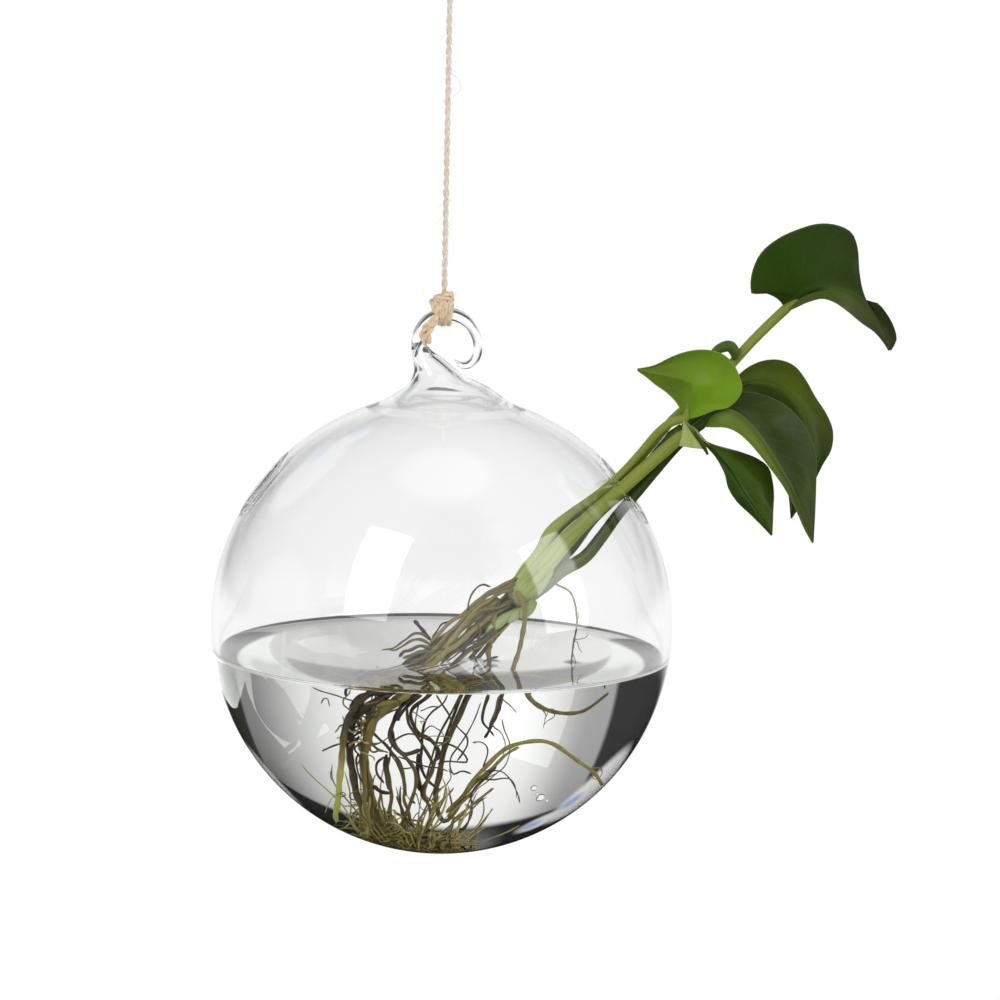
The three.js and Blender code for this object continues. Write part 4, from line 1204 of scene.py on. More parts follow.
# Feet of the roots under the crown, across the draw line and away
ROOT_FEET = [(2.9, -1.6), (0.9, -3.1), (2.0, 1.9), (-1.9, -2.7), (-0.6, 3.2), (0.2, 0.1), (-3.1, 0.2)]
# Route of each root, its radii and its tones, from dark brown at 0 to pale green at 1
TRUNKS = [
    ([(13.8, -5.5, 6.6), (9.4, -7, 3.2), (5.1, -8.9, 0), (0.5, -10.7, -3.6), (-4.3, -12.9, -7.5),
      (-8.9, -15.7, -10.9), (-12.9, -19, -13.5), (-16.9, -20.2, -16.1), (-19.3, -19.4, -19.4),
      (-19.1, -18, -24), (-18.4, -16, -31), (-16, -13, -40), (-15, -11.6, -46)],
      (0.6, 0.75, 0.8, 0.9, 0.95, 0.8, 0.8), (0.5, 0.55, 0.35, 0.1, 0.12, 0.3, 0.6)),
    ([(12.2, -7, 2.8), (6.8, -9.5, -1.4), (0.9, -12.6, -5.8), (-5.3, -15.8, -10.6), (-10.7, -18.5, -14.7),
      (-14.4, -19.5, -18.6), (-15.9, -17.6, -25), (-15.2, -15, -32), (-13.4, -12, -40), (-12.3, -9.6, -48)],
      (0.6, 0.7, 0.8, 1.05, 1.1, 0.95, 0.7), (0.45, 0.6, 0.6, 0.4, 0.5, 0.52, 0.45)),
    ([(12.5, -1.2, 6), (7, -4.6, 1.6), (0, -8, -2.6), (-7, -12, -7.4), (-13.5, -18, -11.2),
      (-19.2, -22.1, -16.2), (-21.3, -23, -24), (-22.1, -21.4, -33), (-24.3, -16.6, -46)],
      (0.5, 0.6, 0.65, 0.75, 0.8, 0.75, 0.7), (0.5, 0.4, 0.15, 0.12, 0.12, 1.0, 1.0)),
    ([(13.4, -7.6, -1), (8, -9.6, -4.6), (2.4, -12, -9), (-2.4, -13.5, -12.7), (-5.9, -14.1, -16.3),
      (-4.6, -14, -20.4), (-0.4, -12.8, -24), (-1.6, -12, -28.6), (-2.8, -12, -33), (-1.7, -10, -39),
      (-5, -7.4, -46.6)], (0.5, 0.55, 0.4, 0.36, 0.4), (0.3, 0.3, 0.15, 0.12, 0.2, 0.4, 0.5)),
    ([(13.2, 0.6, 1.4), (7.4, -2.4, -3), (1, -7, -8), (-4.8, -11.9, -12.4), (-9.3, -16.6, -17.1),
      (-10.4, -17.4, -22), (-7, -16, -26), (-4.6, -14.4, -30.6), (-6.2, -11.6, -37), (-9.4, -8, -47)],
      (0.5, 0.55, 0.5, 0.4, 0.4), (0.3, 0.2, 0.1, 0.1, 0.2, 0.45, 0.5)),
    ([(14.6, -3, 1), (12.6, -5.4, -3.6), (12.4, -9.6, -8.2), (12.8, -13.4, -12.2), (11.4, -15, -17.4),
      (9.4, -15.4, -21.4)], (0.8, 0.85, 0.75, 0.6, 0.45, 0.3), (0.62, 0.66, 0.6, 0.3, 0.15, 0.1)),
    ([(14.4, -1.6, -3), (9.6, -2.6, -8.4), (5, -4.6, -15), (1.4, -5.6, -24), (-0.6, -5.6, -33),
      (1.2, -5.8, -39.6), (4.6, -7.4, -35), (8.6, -9, -28.6), (14.4, -10, -23.6), (20.5, -10, -22.4),
      (27, -10, -25.4), (32.8, -9, -30.2), (38.2, -8, -36)], (0.5, 0.5, 0.5, 0.45, 0.4),
      (0.3, 0.25, 0.3, 0.5, 0.66, 0.66, 0.6)),
]
FINE_ROOTS = [
    ([(19.3, -4.9, 9.6), (21.4, -8.6, 5), (20.4, -13, -3), (18.4, -19, -11.4), (22.4, -20.6, -14.8),
      (30.7, -20.6, -15.8), (37.6, -19.6, -11.8)], (0.62, 0.6, 0.34), (0.64, 0.5, 0.3)),
    ([(29.2, -4.8, 11.7), (33.2, -6.6, 9.6), (35, -6.4, 2.3), (34.2, -6, -4), (33.6, -6, -12)],
      (0.3, 0.26, 0.2), (0.45, 0.35, 0.2)),
]
# More strands of the bundle above the water: route, radius at both ends and tone at both ends
DRY_STRANDS = [
    ([(19.5, -1.8, 12.5), (16.5, -3.8, 11.5), (13.6, -5.7, 10.1), (11.2, -6.6, 8.9), (9.5, -7.3, 7.6),
      (7.7, -8, 6), (6.2, -8.5, 4.6), (4.5, -9.2, 3.4), (3, -9.8, 2.6), (0.7, -10.7, 0.6),
      (-1.7, -11.7, -1.7), (-2.8, -12.1, -3.1)], 0.45, 0.5, 0.5, 0.62),
    ([(19, -2.7, 11.1), (15.4, -5.1, 10.2), (11.8, -6.9, 8.6), (9.5, -7.8, 6.9), (7.4, -8.6, 4.9),
      (5.4, -9.4, 2.9), (3.3, -10.2, 0.6), (1.3, -11, -1.1), (-0.4, -11.7, -3.2), (-1.9, -12.3, -4.9),
      (-3.9, -13.1, -6.9)], 0.45, 0.5, 0.42, 0.55),
    ([(18.7, -3.2, 9.7), (15.1, -5.6, 9.2), (12.4, -6.9, 7.6), (10.1, -7.8, 6.2), (8, -8.6, 4.3),
      (6, -9.4, 2), (4.5, -10, 0), (2.5, -10.8, -2.4), (0.8, -11.5, -4.4), (0.2, -11.7, -6.5)], 0.5, 0.55,
      0.5, 0.72),
    ([(20.5, -2.5, 7.8), (18.1, -3.7, 7), (15.2, -5.7, 5.6), (12.5, -7.1, 5.3), (10.1, -8, 4.8),
      (7.7, -8.9, 3.4), (6, -9.6, 1.4), (4.3, -10.3, -0.9), (1.9, -11.2, -3.5), (0.8, -11.7, -5.5),
      (0.4, -11.8, -8.5)], 0.5, 0.5, 0.35, 0.66),
    ([(20.6, -1.9, 6.2), (17.6, -3.5, 6.1), (14, -5.9, 5), (11.6, -6.8, 4.4), (9.2, -7.8, 3.6),
      (7.5, -8.4, 2.5), (5.7, -9.1, 0.4), (3.7, -9.9, -2.2), (1.7, -10.7, -4.8)], 0.5, 0.4, 0.2, 0.5),
    ([(20.9, -0.3, 5), (17.3, -2.1, 4.9), (13.7, -4.4, 3.7), (11.4, -5.3, 2.6), (9.3, -6.1, 0.9),
      (7.2, -6.9, -1.1), (5.5, -7.6, -3.2), (4.3, -8.1, -5.2)], 0.95, 0.8, 0.05, 0.02),
    ([(20.9, 0.3, 3.7), (16.7, -1.9, 4), (13.8, -3.8, 2.4), (11.7, -4.6, 1.3), (10.2, -5.2, -0.5),
      (7.9, -6.1, -2.5), (6.1, -6.8, -4.5), (5, -7.2, -6.3)], 0.9, 0.8, 0.02, 0.05),
    ([(19.8, 0.7, 3), (16.1, -1.7, 3), (12.6, -3.7, 1.7), (10.2, -4.6, 0.3), (7.8, -5.5, -0.4),
      (6.1, -6.2, -1.9), (4.9, -6.6, -3.9)], 0.9, 0.7, 0.0, 0.06),
    ([(16.8, -0.7, 2.5), (13.8, -2.6, 1), (12, -3.3, -0.7), (9.7, -4.2, -1.8), (7.3, -5.1, -3.2),
      (4.9, -6, -5.3)], 0.8, 0.7, 0.04, 0.1),
    ([(18.3, -0.4, 1.9), (15.3, -2.4, 0.4), (13.2, -3.6, -1.3), (11.8, -4.2, -3.3), (10.3, -4.7, -4.8),
      (8.5, -5.4, -5.9)], 0.7, 0.4, 0.1, 0.2),
    ([(12.4, -6.7, 11), (10.6, -7.4, 11.6), (9.1, -8, 11), (7.6, -8.6, 9.1), (6.9, -8.8, 7),
      (6.5, -9, 4.9)], 0.28, 0.2, 0.3, 0.12),
    ([(-2.8, -12.1, -2.2), (-4.3, -12.7, -0.6), (-5.7, -13.5, 1.3), (-6.5, -14.1, 2.3)], 0.5, 0.42, 0.05,
      0.0),
    ([(-6.3, -14, 1.9), (-6.7, -14.3, 2.6), (-7, -14.5, 3)], 0.62, 0.4, 0.0, 0.0),
    ([(1.8, -10.3, 2.1), (0.1, -11, 1.7), (-1.1, -11.4, 0.1), (-2.5, -12, -1.9)], 0.25, 0.22, 0.1, 0.1),
    ([(-2.8, -12.1, -2.5), (-4.6, -12.9, -0.8), (-7, -14.5, -0.4), (-9, -16, -1.7), (-10.2, -16.9, -2.4),
      (-12.2, -18.4, -3.5), (-15.4, -19.6, -4.1)], 0.45, 0.15, 0.3, 0.3),
    ([(-2.8, -12.7, -3.6), (-5.2, -13.7, -2), (-7.5, -15.5, -2), (-9.9, -17.2, -3.3), (-11.9, -18.8, -4),
      (-14, -19.8, -3.6)], 0.45, 0.2, 0.42, 0.3),
    ([(-2.5, -12.9, -4.5), (-5.5, -14.2, -3.7), (-7.8, -16, -4.4), (-9.8, -17.5, -4.7), (-10.8, -18.3, -6)],
      0.5, 0.4, 0.3, 0.1),
    ([(-2.5, -13.2, -5.3), (-5.4, -14.5, -5.2), (-7.8, -16.3, -5.8), (-9.8, -17.8, -6.2)], 0.5, 0.4, 0.4,
      0.3),
    ([(-1.9, -12.7, -6.3), (-4.5, -13.8, -6.8), (-6.9, -15.4, -7.4), (-8.6, -16.7, -8)], 0.55, 0.4, 0.35,
      0.3),
    ([(-1, -12.4, -7), (-3.3, -13.3, -8.3), (-5.1, -14, -9.2), (-6.8, -15.4, -9.4)], 0.55, 0.45, 0.45,
      0.35),
    ([(0.2, -12.3, -5.4), (-1.6, -13, -6.3), (-3.3, -13.7, -7.7), (-4.5, -14.2, -9.4)], 0.55, 0.5, 0.6,
      0.5),
    ([(1.9, -11.8, -3.7), (0.8, -12.3, -5.4), (-1, -13, -7.2), (-2.4, -13.6, -8.9)], 0.5, 0.5, 0.65, 0.55),
    ([(8.5, -9.7, -2.7), (8.2, -9.8, -5.1), (8.9, -9.5, -7.6), (9.5, -9.3, -8.8)], 0.3, 0.28, 0.3, 0.2),
    ([(9.6, -9.2, 1.4), (9.9, -9.1, -1), (9.4, -9.3, -2.8), (9.7, -9.2, -4.6)], 0.3, 0.28, 0.35, 0.2),
    ([(14, -7.1, 3.9), (13.3, -7.4, 1.8), (13.8, -7.2, -0.7), (14.1, -7, -2.8)], 0.6, 0.4, 0.55, 0.62),
    ([(14.8, -7, -7.3), (12.7, -8, -7.8), (11, -8.7, -8.4)], 0.3, 0.25, 0.25, 0.1),
]
# Strands under the water: route across and up, depth at both ends, then told in the same way
WET_STRANDS = [
    ([(-9.2, -11.8), (-11.9, -12), (-14.9, -12.2), (-17.1, -13), (-18.3, -14.2), (-19.2, -15.7)],
      (-19, -20), 0.75, 0.8, 0.06, 0.08),
    ([(-6.2, -11.8), (-7.7, -13), (-9.5, -13.8), (-11.9, -14.3), (-14.3, -15), (-16.4, -15.3),
      (-18, -14.7)], (-19, -20), 0.8, 0.75, 0.6, 0.45),
    ([(-10.4, -12.2), (-11.9, -12.9), (-13.5, -14.6), (-14.9, -15.9)], (-19, -19.5), 0.4, 0.4, 0.3, 0.4),
    ([(-3.8, -12.4), (-5.3, -13.4), (-7, -15), (-8.2, -16.5), (-9.1, -17.9)], (-17, -18), 0.5, 0.55, 0.1,
      0.05),
    ([(-10.1, -18.5), (-9.4, -18), (-8.3, -17.7)], (-18, -18), 0.3, 0.25, 0.0, 0.0),
    ([(-10, -19.9), (-9.7, -22.3), (-8.9, -24.1), (-7.4, -25.3), (-5.9, -25), (-3.9, -24.2)], (-17, -15),
      0.6, 0.6, 0.15, 0.15),
    ([(-6.9, -13.3), (-6.9, -16.3), (-6.4, -18.7), (-5.1, -20.8), (-3.6, -23.2), (-2.1, -25.5),
      (-1.3, -27.6), (-1.7, -30.1), (-3.1, -32.2), (-3.6, -34.4)], (-16, -10), 0.4, 0.5, 0.2, 0.25),
    ([(-4.5, -21.2), (-2.7, -21.6), (-1, -23.1), (0.2, -24.9), (-0.1, -26.1), (-1.2, -26.3)], (-14, -13),
      0.62, 0.4, 0.2, 0.15),
    ([(-4.4, -13.8), (-4.9, -17.1), (-5.1, -20.4)], (-16, -15), 0.22, 0.2, 0.15, 0.15),
    ([(-0.9, -12.8), (0.6, -14.8), (1.8, -16.9), (2.4, -19.3), (1.9, -21.6), (1.3, -23.7), (0.8, -26.4),
      (0.6, -29.4), (-0.2, -32.5), (-0.8, -35.2)], (-14, -10), 0.25, 0.3, 0.2, 0.3),
    ([(2.4, -18.1), (3.9, -19.8), (5.6, -21.3), (5.8, -22.8), (4.8, -24.9), (3.7, -26.7)], (-13, -12), 0.22,
      0.25, 0.2, 0.2),
    ([(1.4, -12.6), (0.6, -14.4), (-1.7, -16.3), (-3.1, -18.4), (-3.5, -20.8), (-3.6, -23.5), (-4.1, -26.5),
      (-4.3, -30.1), (-4, -33.2)], (-15, -11), 0.22, 0.5, 0.2, 0.1),
    ([(-4, -16), (-2, -15.2), (0, -15.1)], (-15, -15), 0.18, 0.18, 0.2, 0.2),
    ([(-1, -22.7), (1.3, -22.9), (3.7, -24), (5.4, -25.4), (5.9, -26.6), (4, -26.8), (1.4, -26.8),
      (-0.3, -27.3)], (-13, -12), 0.28, 0.25, 0.2, 0.2),
    ([(-14.7, -20), (-12.9, -22.1), (-11, -23.6), (-9.8, -25.1), (-8.5, -26.9), (-7.4, -29.3),
      (-7.2, -32.1), (-6.9, -34.6)], (-18, -12), 0.4, 0.5, 0.15, 0.5),
    ([(-15, -21.8), (-14.1, -23.3), (-12.8, -24.5), (-11.6, -24.9)], (-18, -17), 0.45, 0.3, 0.15, 0.2),
    ([(-10.4, -26.6), (-10.1, -24.2), (-9.3, -22.4), (-6.8, -21.1), (-4.5, -21.1)], (-16, -14), 0.25, 0.25,
      0.15, 0.2),
    ([(-11.5, -26.1), (-12.9, -27.4), (-12.9, -29.9), (-11.4, -32)], (-15, -13), 0.35, 0.35, 0.3, 0.3),
    ([(-10.9, -25.4), (-11.4, -28.2), (-10.8, -31), (-10.2, -33.5)], (-15, -13), 0.5, 0.55, 0.12, 0.4),
    ([(-10.3, -26.1), (-10.8, -28.5), (-10.1, -31.6), (-9.8, -34.7), (-10.1, -38), (-9.9, -42.4)],
      (-14, -10), 0.5, 0.65, 0.35, 0.62),
    ([(-9.1, -26.6), (-7.8, -29), (-7.1, -32.4), (-7.1, -35.2), (-6.2, -38), (-5.9, -41.1)], (-14, -9),
      0.45, 0.5, 0.45, 0.6),
    ([(-4.4, -25.3), (-4.3, -28.3), (-4, -31.3), (-3.4, -33.7), (-2.5, -35.5)], (-12, -9), 0.55, 0.5, 0.12,
      0.45),
    ([(-3.5, -24.4), (-3.9, -26.8), (-3.4, -28.9), (-1.7, -31.3), (0.4, -33)], (-12, -9), 0.5, 0.35, 0.08,
      0.3),
    ([(-8.5, -26), (-5.5, -26.8), (-2.6, -28), (0.3, -28.2), (2, -28.8)], (-13, -12), 0.25, 0.22, 0.25,
      0.25),
    ([(-10.2, -25.2), (-7.8, -28.4), (-4.6, -28), (-2.9, -28.3)], (-13, -12), 0.2, 0.2, 0.2, 0.25),
    ([(-14.1, -32.9), (-12.2, -34), (-10.4, -34.3)], (-17, -16), 0.65, 0.6, 0.02, 0.05),
    ([(-18.8, -21.6), (-19.4, -24.5), (-19, -27.1), (-18.3, -29), (-17.8, -31.2), (-17.9, -34)], (-19, -18),
      0.4, 0.35, 0.06, 0.04),
    ([(-17.2, -25.3), (-17.9, -27), (-17.5, -29.5), (-16.6, -32.1)], (-19, -18), 0.3, 0.3, 0.1, 0.1),
    ([(-15.2, -15.9), (-15.7, -19.3), (-15.9, -23.1), (-16, -27.2), (-16, -30.7), (-15.8, -33.7),
      (-16.1, -36.5), (-15.5, -39.4), (-15.2, -44.1)], (-20, -15), 0.75, 0.8, 0.42, 0.5),
    ([(-15.3, -26.8), (-14.9, -30.7), (-14, -34.5), (-12.8, -37.8), (-11.6, -42.2)], (-18, -13), 0.35, 0.45,
      0.5, 0.6),
    ([(-14.7, -35.3), (-15.1, -39), (-15.5, -43.2), (-16.5, -48.9)], (-16, -14), 0.3, 0.4, 0.75, 0.7),
    ([(-12.1, -34.4), (-12.7, -37.1), (-11.5, -40.6), (-12.2, -46)], (-15, -12), 0.4, 0.5, 0.55, 0.4),
    ([(-8.7, -34.7), (-7.8, -37.3), (-6.6, -39.9), (-4.5, -42.7)], (-13, -10), 0.4, 0.4, 0.25, 0.3),
    ([(8.3, -14.5), (7.2, -17.4), (5.8, -20.6), (3.9, -23.5), (2.5, -25.8), (2.3, -27.9), (2.9, -29.4),
      (4.6, -28.8), (6.7, -29.4)], (-10, -10), 0.18, 0.25, 0.25, 0.15),
    ([(9.6, -13.2), (8.8, -16.1), (8.6, -18.6), (9.7, -20.1), (11, -21.6)], (-8, -8), 0.55, 0.22, 0.2, 0.1),
    ([(12.1, -13.2), (11.1, -16.6), (10, -19.5)], (-8, -8), 0.6, 0.3, 0.45, 0.35),
    ([(12.4, -13.7), (13.9, -15.2), (15.5, -16.6)], (-8, -8), 0.18, 0.12, 0.25, 0.25),
    ([(12.5, -18), (13.1, -20.3), (14, -22.9), (14.2, -25.2), (13.3, -27.6), (11.6, -29.3), (9.7, -31.1),
      (7.7, -32.6), (6.1, -36)], (-8, -8), 0.16, 0.16, 0.3, 0.35),
    ([(8.2, -28.7), (10.7, -28.7), (12.7, -29), (14.7, -30.8), (15.8, -33.3), (16.6, -35.8)], (-8, -6),
      0.18, 0.18, 0.25, 0.25),
    ([(1.6, -38), (3.8, -35.4), (6, -32.9), (8.7, -29.9), (11.5, -27.3), (14.2, -24.7), (15.8, -23.8)],
      (-9, -5), 0.55, 0.4, 0.6, 0.66),
    ([(1.9, -39), (4.4, -36), (6.6, -33.5), (8.8, -30.8), (11.5, -27.9)], (-9, -7), 0.55, 0.3, 0.62, 0.4),
    ([(3.1, -39.7), (6.2, -36.8), (8.9, -34.3), (11.2, -32.4)], (-9, -8), 0.42, 0.35, 0.6, 0.5),
    ([(4.3, -40.1), (6.5, -37.7), (8.7, -35.1), (9.8, -34.3)], (-9, -8), 0.3, 0.2, 0.62, 0.5),
    ([(5.6, -37.4), (6.7, -34.2), (7.5, -32), (10, -30.1), (11.6, -29.3)], (-9, -8), 0.2, 0.15, 0.1, 0.2),
    ([(2.2, -37.7), (4.7, -34.2), (6, -32), (8.2, -29.3), (9.1, -28.7)], (-9, -8), 0.35, 0.25, 0.4, 0.3),
    ([(-28.3, -10.9), (-24.5, -12.2), (-20.3, -13.3), (-17.4, -14.1)], (-24, -20), 0.16, 0.25, 0.3, 0.3),
    ([(-26, -14.6), (-25.6, -13.7), (-24.6, -13.5), (-24, -15.1)], (-22, -22), 0.2, 0.15, 0.3, 0.3),
    ([(-25.6, -25.5), (-23.2, -24.3), (-20.9, -23.3)], (-20, -19), 0.3, 0.25, 0.2, 0.2),
    ([(-24, -30.2), (-23.9, -32), (-23.3, -33)], (-20, -20), 0.12, 0.12, 0.3, 0.3),
    ([(-23, -35.8), (-25.3, -39.7), (-26.9, -43.4)], (-18, -18), 0.16, 0.14, 1.0, 1.0),
    ([(4.3, -41.9), (5.9, -41.9)], (-8, -8), 0.35, 0.25, 0.0, 0.0),
    ([(1, -35.3), (1.5, -32.1), (2.6, -30), (2, -28.2)], (-11, -10), 0.2, 0.15, 0.4, 0.3),
    ([(-1.3, -35.3), (0.4, -32.8), (1.8, -31.5)], (-11, -11), 0.3, 0.2, 0.5, 0.6),
    ([(-20.3, -11.1), (-20.5, -12.8)], (-21, -21), 0.45, 0.4, 0.0, 0.0),
]
# The water magnifies the strands in it, so they are made thinner than told, by this share
WET_SHARE = 0.76
# Ball of old roots on the glass: its top, from left to right, its near and far side, and its lowest roots
BALL_TOP = [(-16.5, -37), (-10, -38.5), (-5, -40.5), (0.5, -42.5), (4.4, -44.5)]
BALL_NEAR = -15.5
BALL_FAR = 8.0
BALL_BOTTOM = -54
# How many roots each part of the tangle has, and how many run beside a main root and branch off it
THICK_IN_BALL = 70
FINE_IN_BALL = 230
IN_FAN = 64
IN_KNOT = 34
SIDE_ROOTS = 3


def keep_inside(line, margin=0.9):
    """The line, with what would pass the glass held just inside it."""
    reach = np.linalg.norm(line, axis=1, keepdims=True)
    return line * np.minimum(1, (INNER_RADIUS - margin) / reach)


def wander(start, direction, length, curl, dice, steps=18):
    """A fine root that grows on in curls."""
    points = [np.array(start, float)]
    heading = unit(np.array(direction, float))
    bend = dice.normal(size=3)
    for _ in range(steps):
        bend = 0.8 * bend + 0.6 * dice.normal(size=3)
        heading = unit(heading + curl * bend / steps * 3)
        points.append(points[-1] + heading * length / steps)
    return keep_inside(np.array(points))


def add_root(shape, line, radii, tones, sides=8):
    """A root along the line, with its radii and tones spread evenly over its length."""
    count = len(line)
    t = np.linspace(0, 1, count)
    reach = spread_over(radii, count)
    swell = 1 + 0.10 * np.sin(t * count * 0.9 + tones[0] * 40)
    reach *= swell + 0.05 * np.sin(t * count * 0.37 + tones[-1] * 20)
    reach[0] *= 0.6
    reach[-1] *= 0.4
    shape.add_rings(tube(line, reach, sides, 3, 0.06, 0.0), tone=spread_over(tones, count)[:, None])


def ball_height(x):
    """Height of the root ball's top."""
    return np.interp(x, *zip(*BALL_TOP))


def add_ball(shape, dice):
    """The ball of old roots: thick ones lie on the glass, finer ones curl over them."""
    for _ in range(THICK_IN_BALL):
        x, y = dice.uniform(-14, 2), dice.uniform(BALL_NEAR + 3, BALL_FAR - 2)
        start = [x, y, dice.uniform(BALL_BOTTOM, -44)]
        direction = [dice.normal(), dice.normal() * 0.8, dice.normal() * 0.25]
        line = wander(start, direction, dice.uniform(9, 18), 1.1, dice)
        line[:, 2] = np.minimum(line[:, 2], ball_height(line[:, 0]) - 3)
        tone = float(dice.uniform(0.35, 0.75))
        add_root(shape, line, (dice.uniform(0.45, 0.8), 0.35), [tone], 7)
    for _ in range(FINE_IN_BALL):
        x, y = dice.uniform(-15.5, 3.6), dice.uniform(BALL_NEAR, BALL_FAR)
        top = ball_height(x)
        start = [x, y, dice.uniform(max(BALL_BOTTOM, top - 16), top - 0.5)]
        rise = dice.uniform(-0.3, 1.6) if x < -7 else dice.normal() * 0.5
        direction = [dice.normal() * 0.8, dice.normal() * 0.6, rise]
        line = wander(start, direction, dice.uniform(6, 15), 1.6, dice)
        line[:, 2] = np.minimum(line[:, 2], ball_height(line[:, 0]) + 0.8 * dice.uniform(0, 1))
        tone = float(dice.uniform(0.5, 0.9) if dice.uniform() < 0.85 else dice.uniform(0.05, 0.3))
        add_root(shape, line, (dice.uniform(0.16, 0.42), 0.14), [tone], 6)


def add_fan(shape, dice):
    """Roots that rise from the ball in a loose fan."""
    for _ in range(IN_FAN):
        x, y = dice.uniform(-14.5, 4.5), dice.uniform(BALL_NEAR, BALL_FAR - 4)
        start = np.array([x, y, dice.uniform(-55, -50)])
        lean = (x + 6) * 0.035 + dice.normal() * 0.22
        height = dice.uniform(0.5, 1.3) * (ball_height(x) + 6 - start[2])
        t = np.linspace(0, 1, 22)
        sway = np.column_stack([np.sin(t * dice.uniform(3, 8) + dice.uniform(0, 6)) for _ in range(3)])
        upward = [lean, dice.normal() * 0.12, 1.0]
        line = start + np.outer(t, upward) * height + sway * (0.4 + 1.5 * t[:, None])
        tone = float(dice.choice([0.4, 0.55, 0.66, 0.74, 0.8, 0.85]))
        radii = (dice.uniform(0.18, 0.4), dice.uniform(0.1, 0.2))
        add_root(shape, keep_inside(line, 1.0), radii, [tone], 6)


def add_knot_of_roots(shape, dice):
    """Short roots that curl where the bundle turns down on the left."""
    for _ in range(IN_KNOT):
        start = [dice.uniform(-19.5, -14.5), dice.uniform(-21.5, -17.5), dice.uniform(-24, -14.5)]
        direction = [dice.normal() * 0.6, dice.normal() * 0.3, -0.8]
        line = wander(start, direction, dice.uniform(4, 9), 2.2, dice, 16)
        tone = float(dice.choice([0.05, 0.12, 0.3, 0.45, 0.8]))
        add_root(shape, line, (dice.uniform(0.2, 0.36), 0.15), [tone], 6)


def crumple(thing):
    """Gives the roots a mesh of their own."""
    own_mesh(thing)


def at_depths(route, first, last):
    """A route told across and up, with a depth that changes evenly along it, to a tenth of a millimetre."""
    depths = np.round(np.linspace(first, last, len(route)), 1)
    return [(x, y, z) for (x, z), y in zip(route, depths)]


def add_strand(shape, route, start, end, first, last, share=1.0):
    """A strand with faint waves, from its radius at both ends, times the share, and its tone at both ends."""
    count = max(12, int(np.linalg.norm(np.diff(route, axis=0), axis=1).sum() * 1.6))
    line = smooth_line(route, count) + 0.07 * small_waves(count, (0.61, 0.47, 0.53), start * 60)
    add_root(shape, keep_inside(line), (start * share, end * share), (first, last), 9)


def add_trunk(shape, line, radii, tones, dice):
    """A root with the finer ones that run beside its upper half and those that branch off lower down."""
    count = len(line)
    add_root(shape, line, radii, tones, 12)
    for _ in range(SIDE_ROOTS):
        beside = line + unit(dice.normal(size=3)) * dice.uniform(0.9, 1.4)
        sway = [np.sin(np.linspace(0, dice.uniform(4, 9), count) + dice.uniform(0, 6)) for _ in range(3)]
        beside = beside + np.column_stack(sway) * np.linspace(0.1, 2.2, count)[:, None]
        first, last = int(dice.uniform(0, 14)), int(dice.uniform(40, 62))
        tone = float(np.clip(tones[0] + dice.normal() * 0.15, 0.02, 0.7))
        add_root(shape, keep_inside(beside[first:last], 1.0), (dice.uniform(0.28, 0.45), 0.2), [tone], 7)
    for _ in range(SIDE_ROOTS):
        i = int(dice.uniform(60, 124))
        heading = unit(dice.normal(size=3) + [0.35, 0, -0.25])
        fine = wander(line[i], heading, dice.uniform(6, 15), 1.5, dice)
        fine[:, 2] = np.minimum(fine[:, 2], -11)
        tone = float(dice.uniform(0.1, 0.6))
        add_root(shape, fine, (dice.uniform(0.13, 0.24), 0.08), [tone], 5)


def add_roots():
    """The main roots in place of their solids, then the tangle of all the others."""
    brown = root_material()
    dice = np.random.default_rng(41)
    middle_n, middle_y = CROWN_MIDDLE
    for number, ((route, radii, tones), (n, y)) in enumerate(zip(TRUNKS, ROOT_FEET), 1):
        ends = (CROWN_BOTTOM + 1.5, CROWN_BOTTOM - 2.5)
        feet = [on_draw_line(s, middle_n + n * 0.9, middle_y + y * 0.9) for s in ends]
        line = keep_inside(smooth_line([*feet, *route], 130), 1.2)
        line = line + 0.14 * small_waves(130, (0.37, 0.29, 0.43), number)
        shape = Shape()
        add_trunk(shape, line, radii, tones, dice)
        crumple(place(shape.build(f"root_strand_{number}", brown), "cutting", "root", f"root_{number}"))
    for number, (route, radii, tones) in enumerate(FINE_ROOTS, 1):
        line = keep_inside(smooth_line(route, 90), 1.0)
        shape = Shape()
        add_root(shape, line, radii, tones)
        for _ in range(4):
            i = int(dice.uniform(40, 86))
            add_root(shape, wander(line[i], dice.normal(size=3), 5, 1.4, dice), (0.14, 0.07), tones[-1:], 5)
        strand = shape.build(f"fine_root_strand_{number}", brown)
        crumple(place(strand, "cutting", "root", f"fine_root_{number}"))

    tangle = Shape()
    for strand in DRY_STRANDS:
        add_strand(tangle, *strand)
    for route, depths, *ends in WET_STRANDS:
        add_strand(tangle, at_depths(route, *depths), *ends, WET_SHARE)
    add_ball(tangle, dice)
    add_fan(tangle, dice)
    add_knot_of_roots(tangle, dice)
    crumple(place(tangle.build("root_tangle", brown), "cutting", "root"))


add_leaves()
add_stalks()
add_crown()
add_bract()
add_roots()


# Stage and light

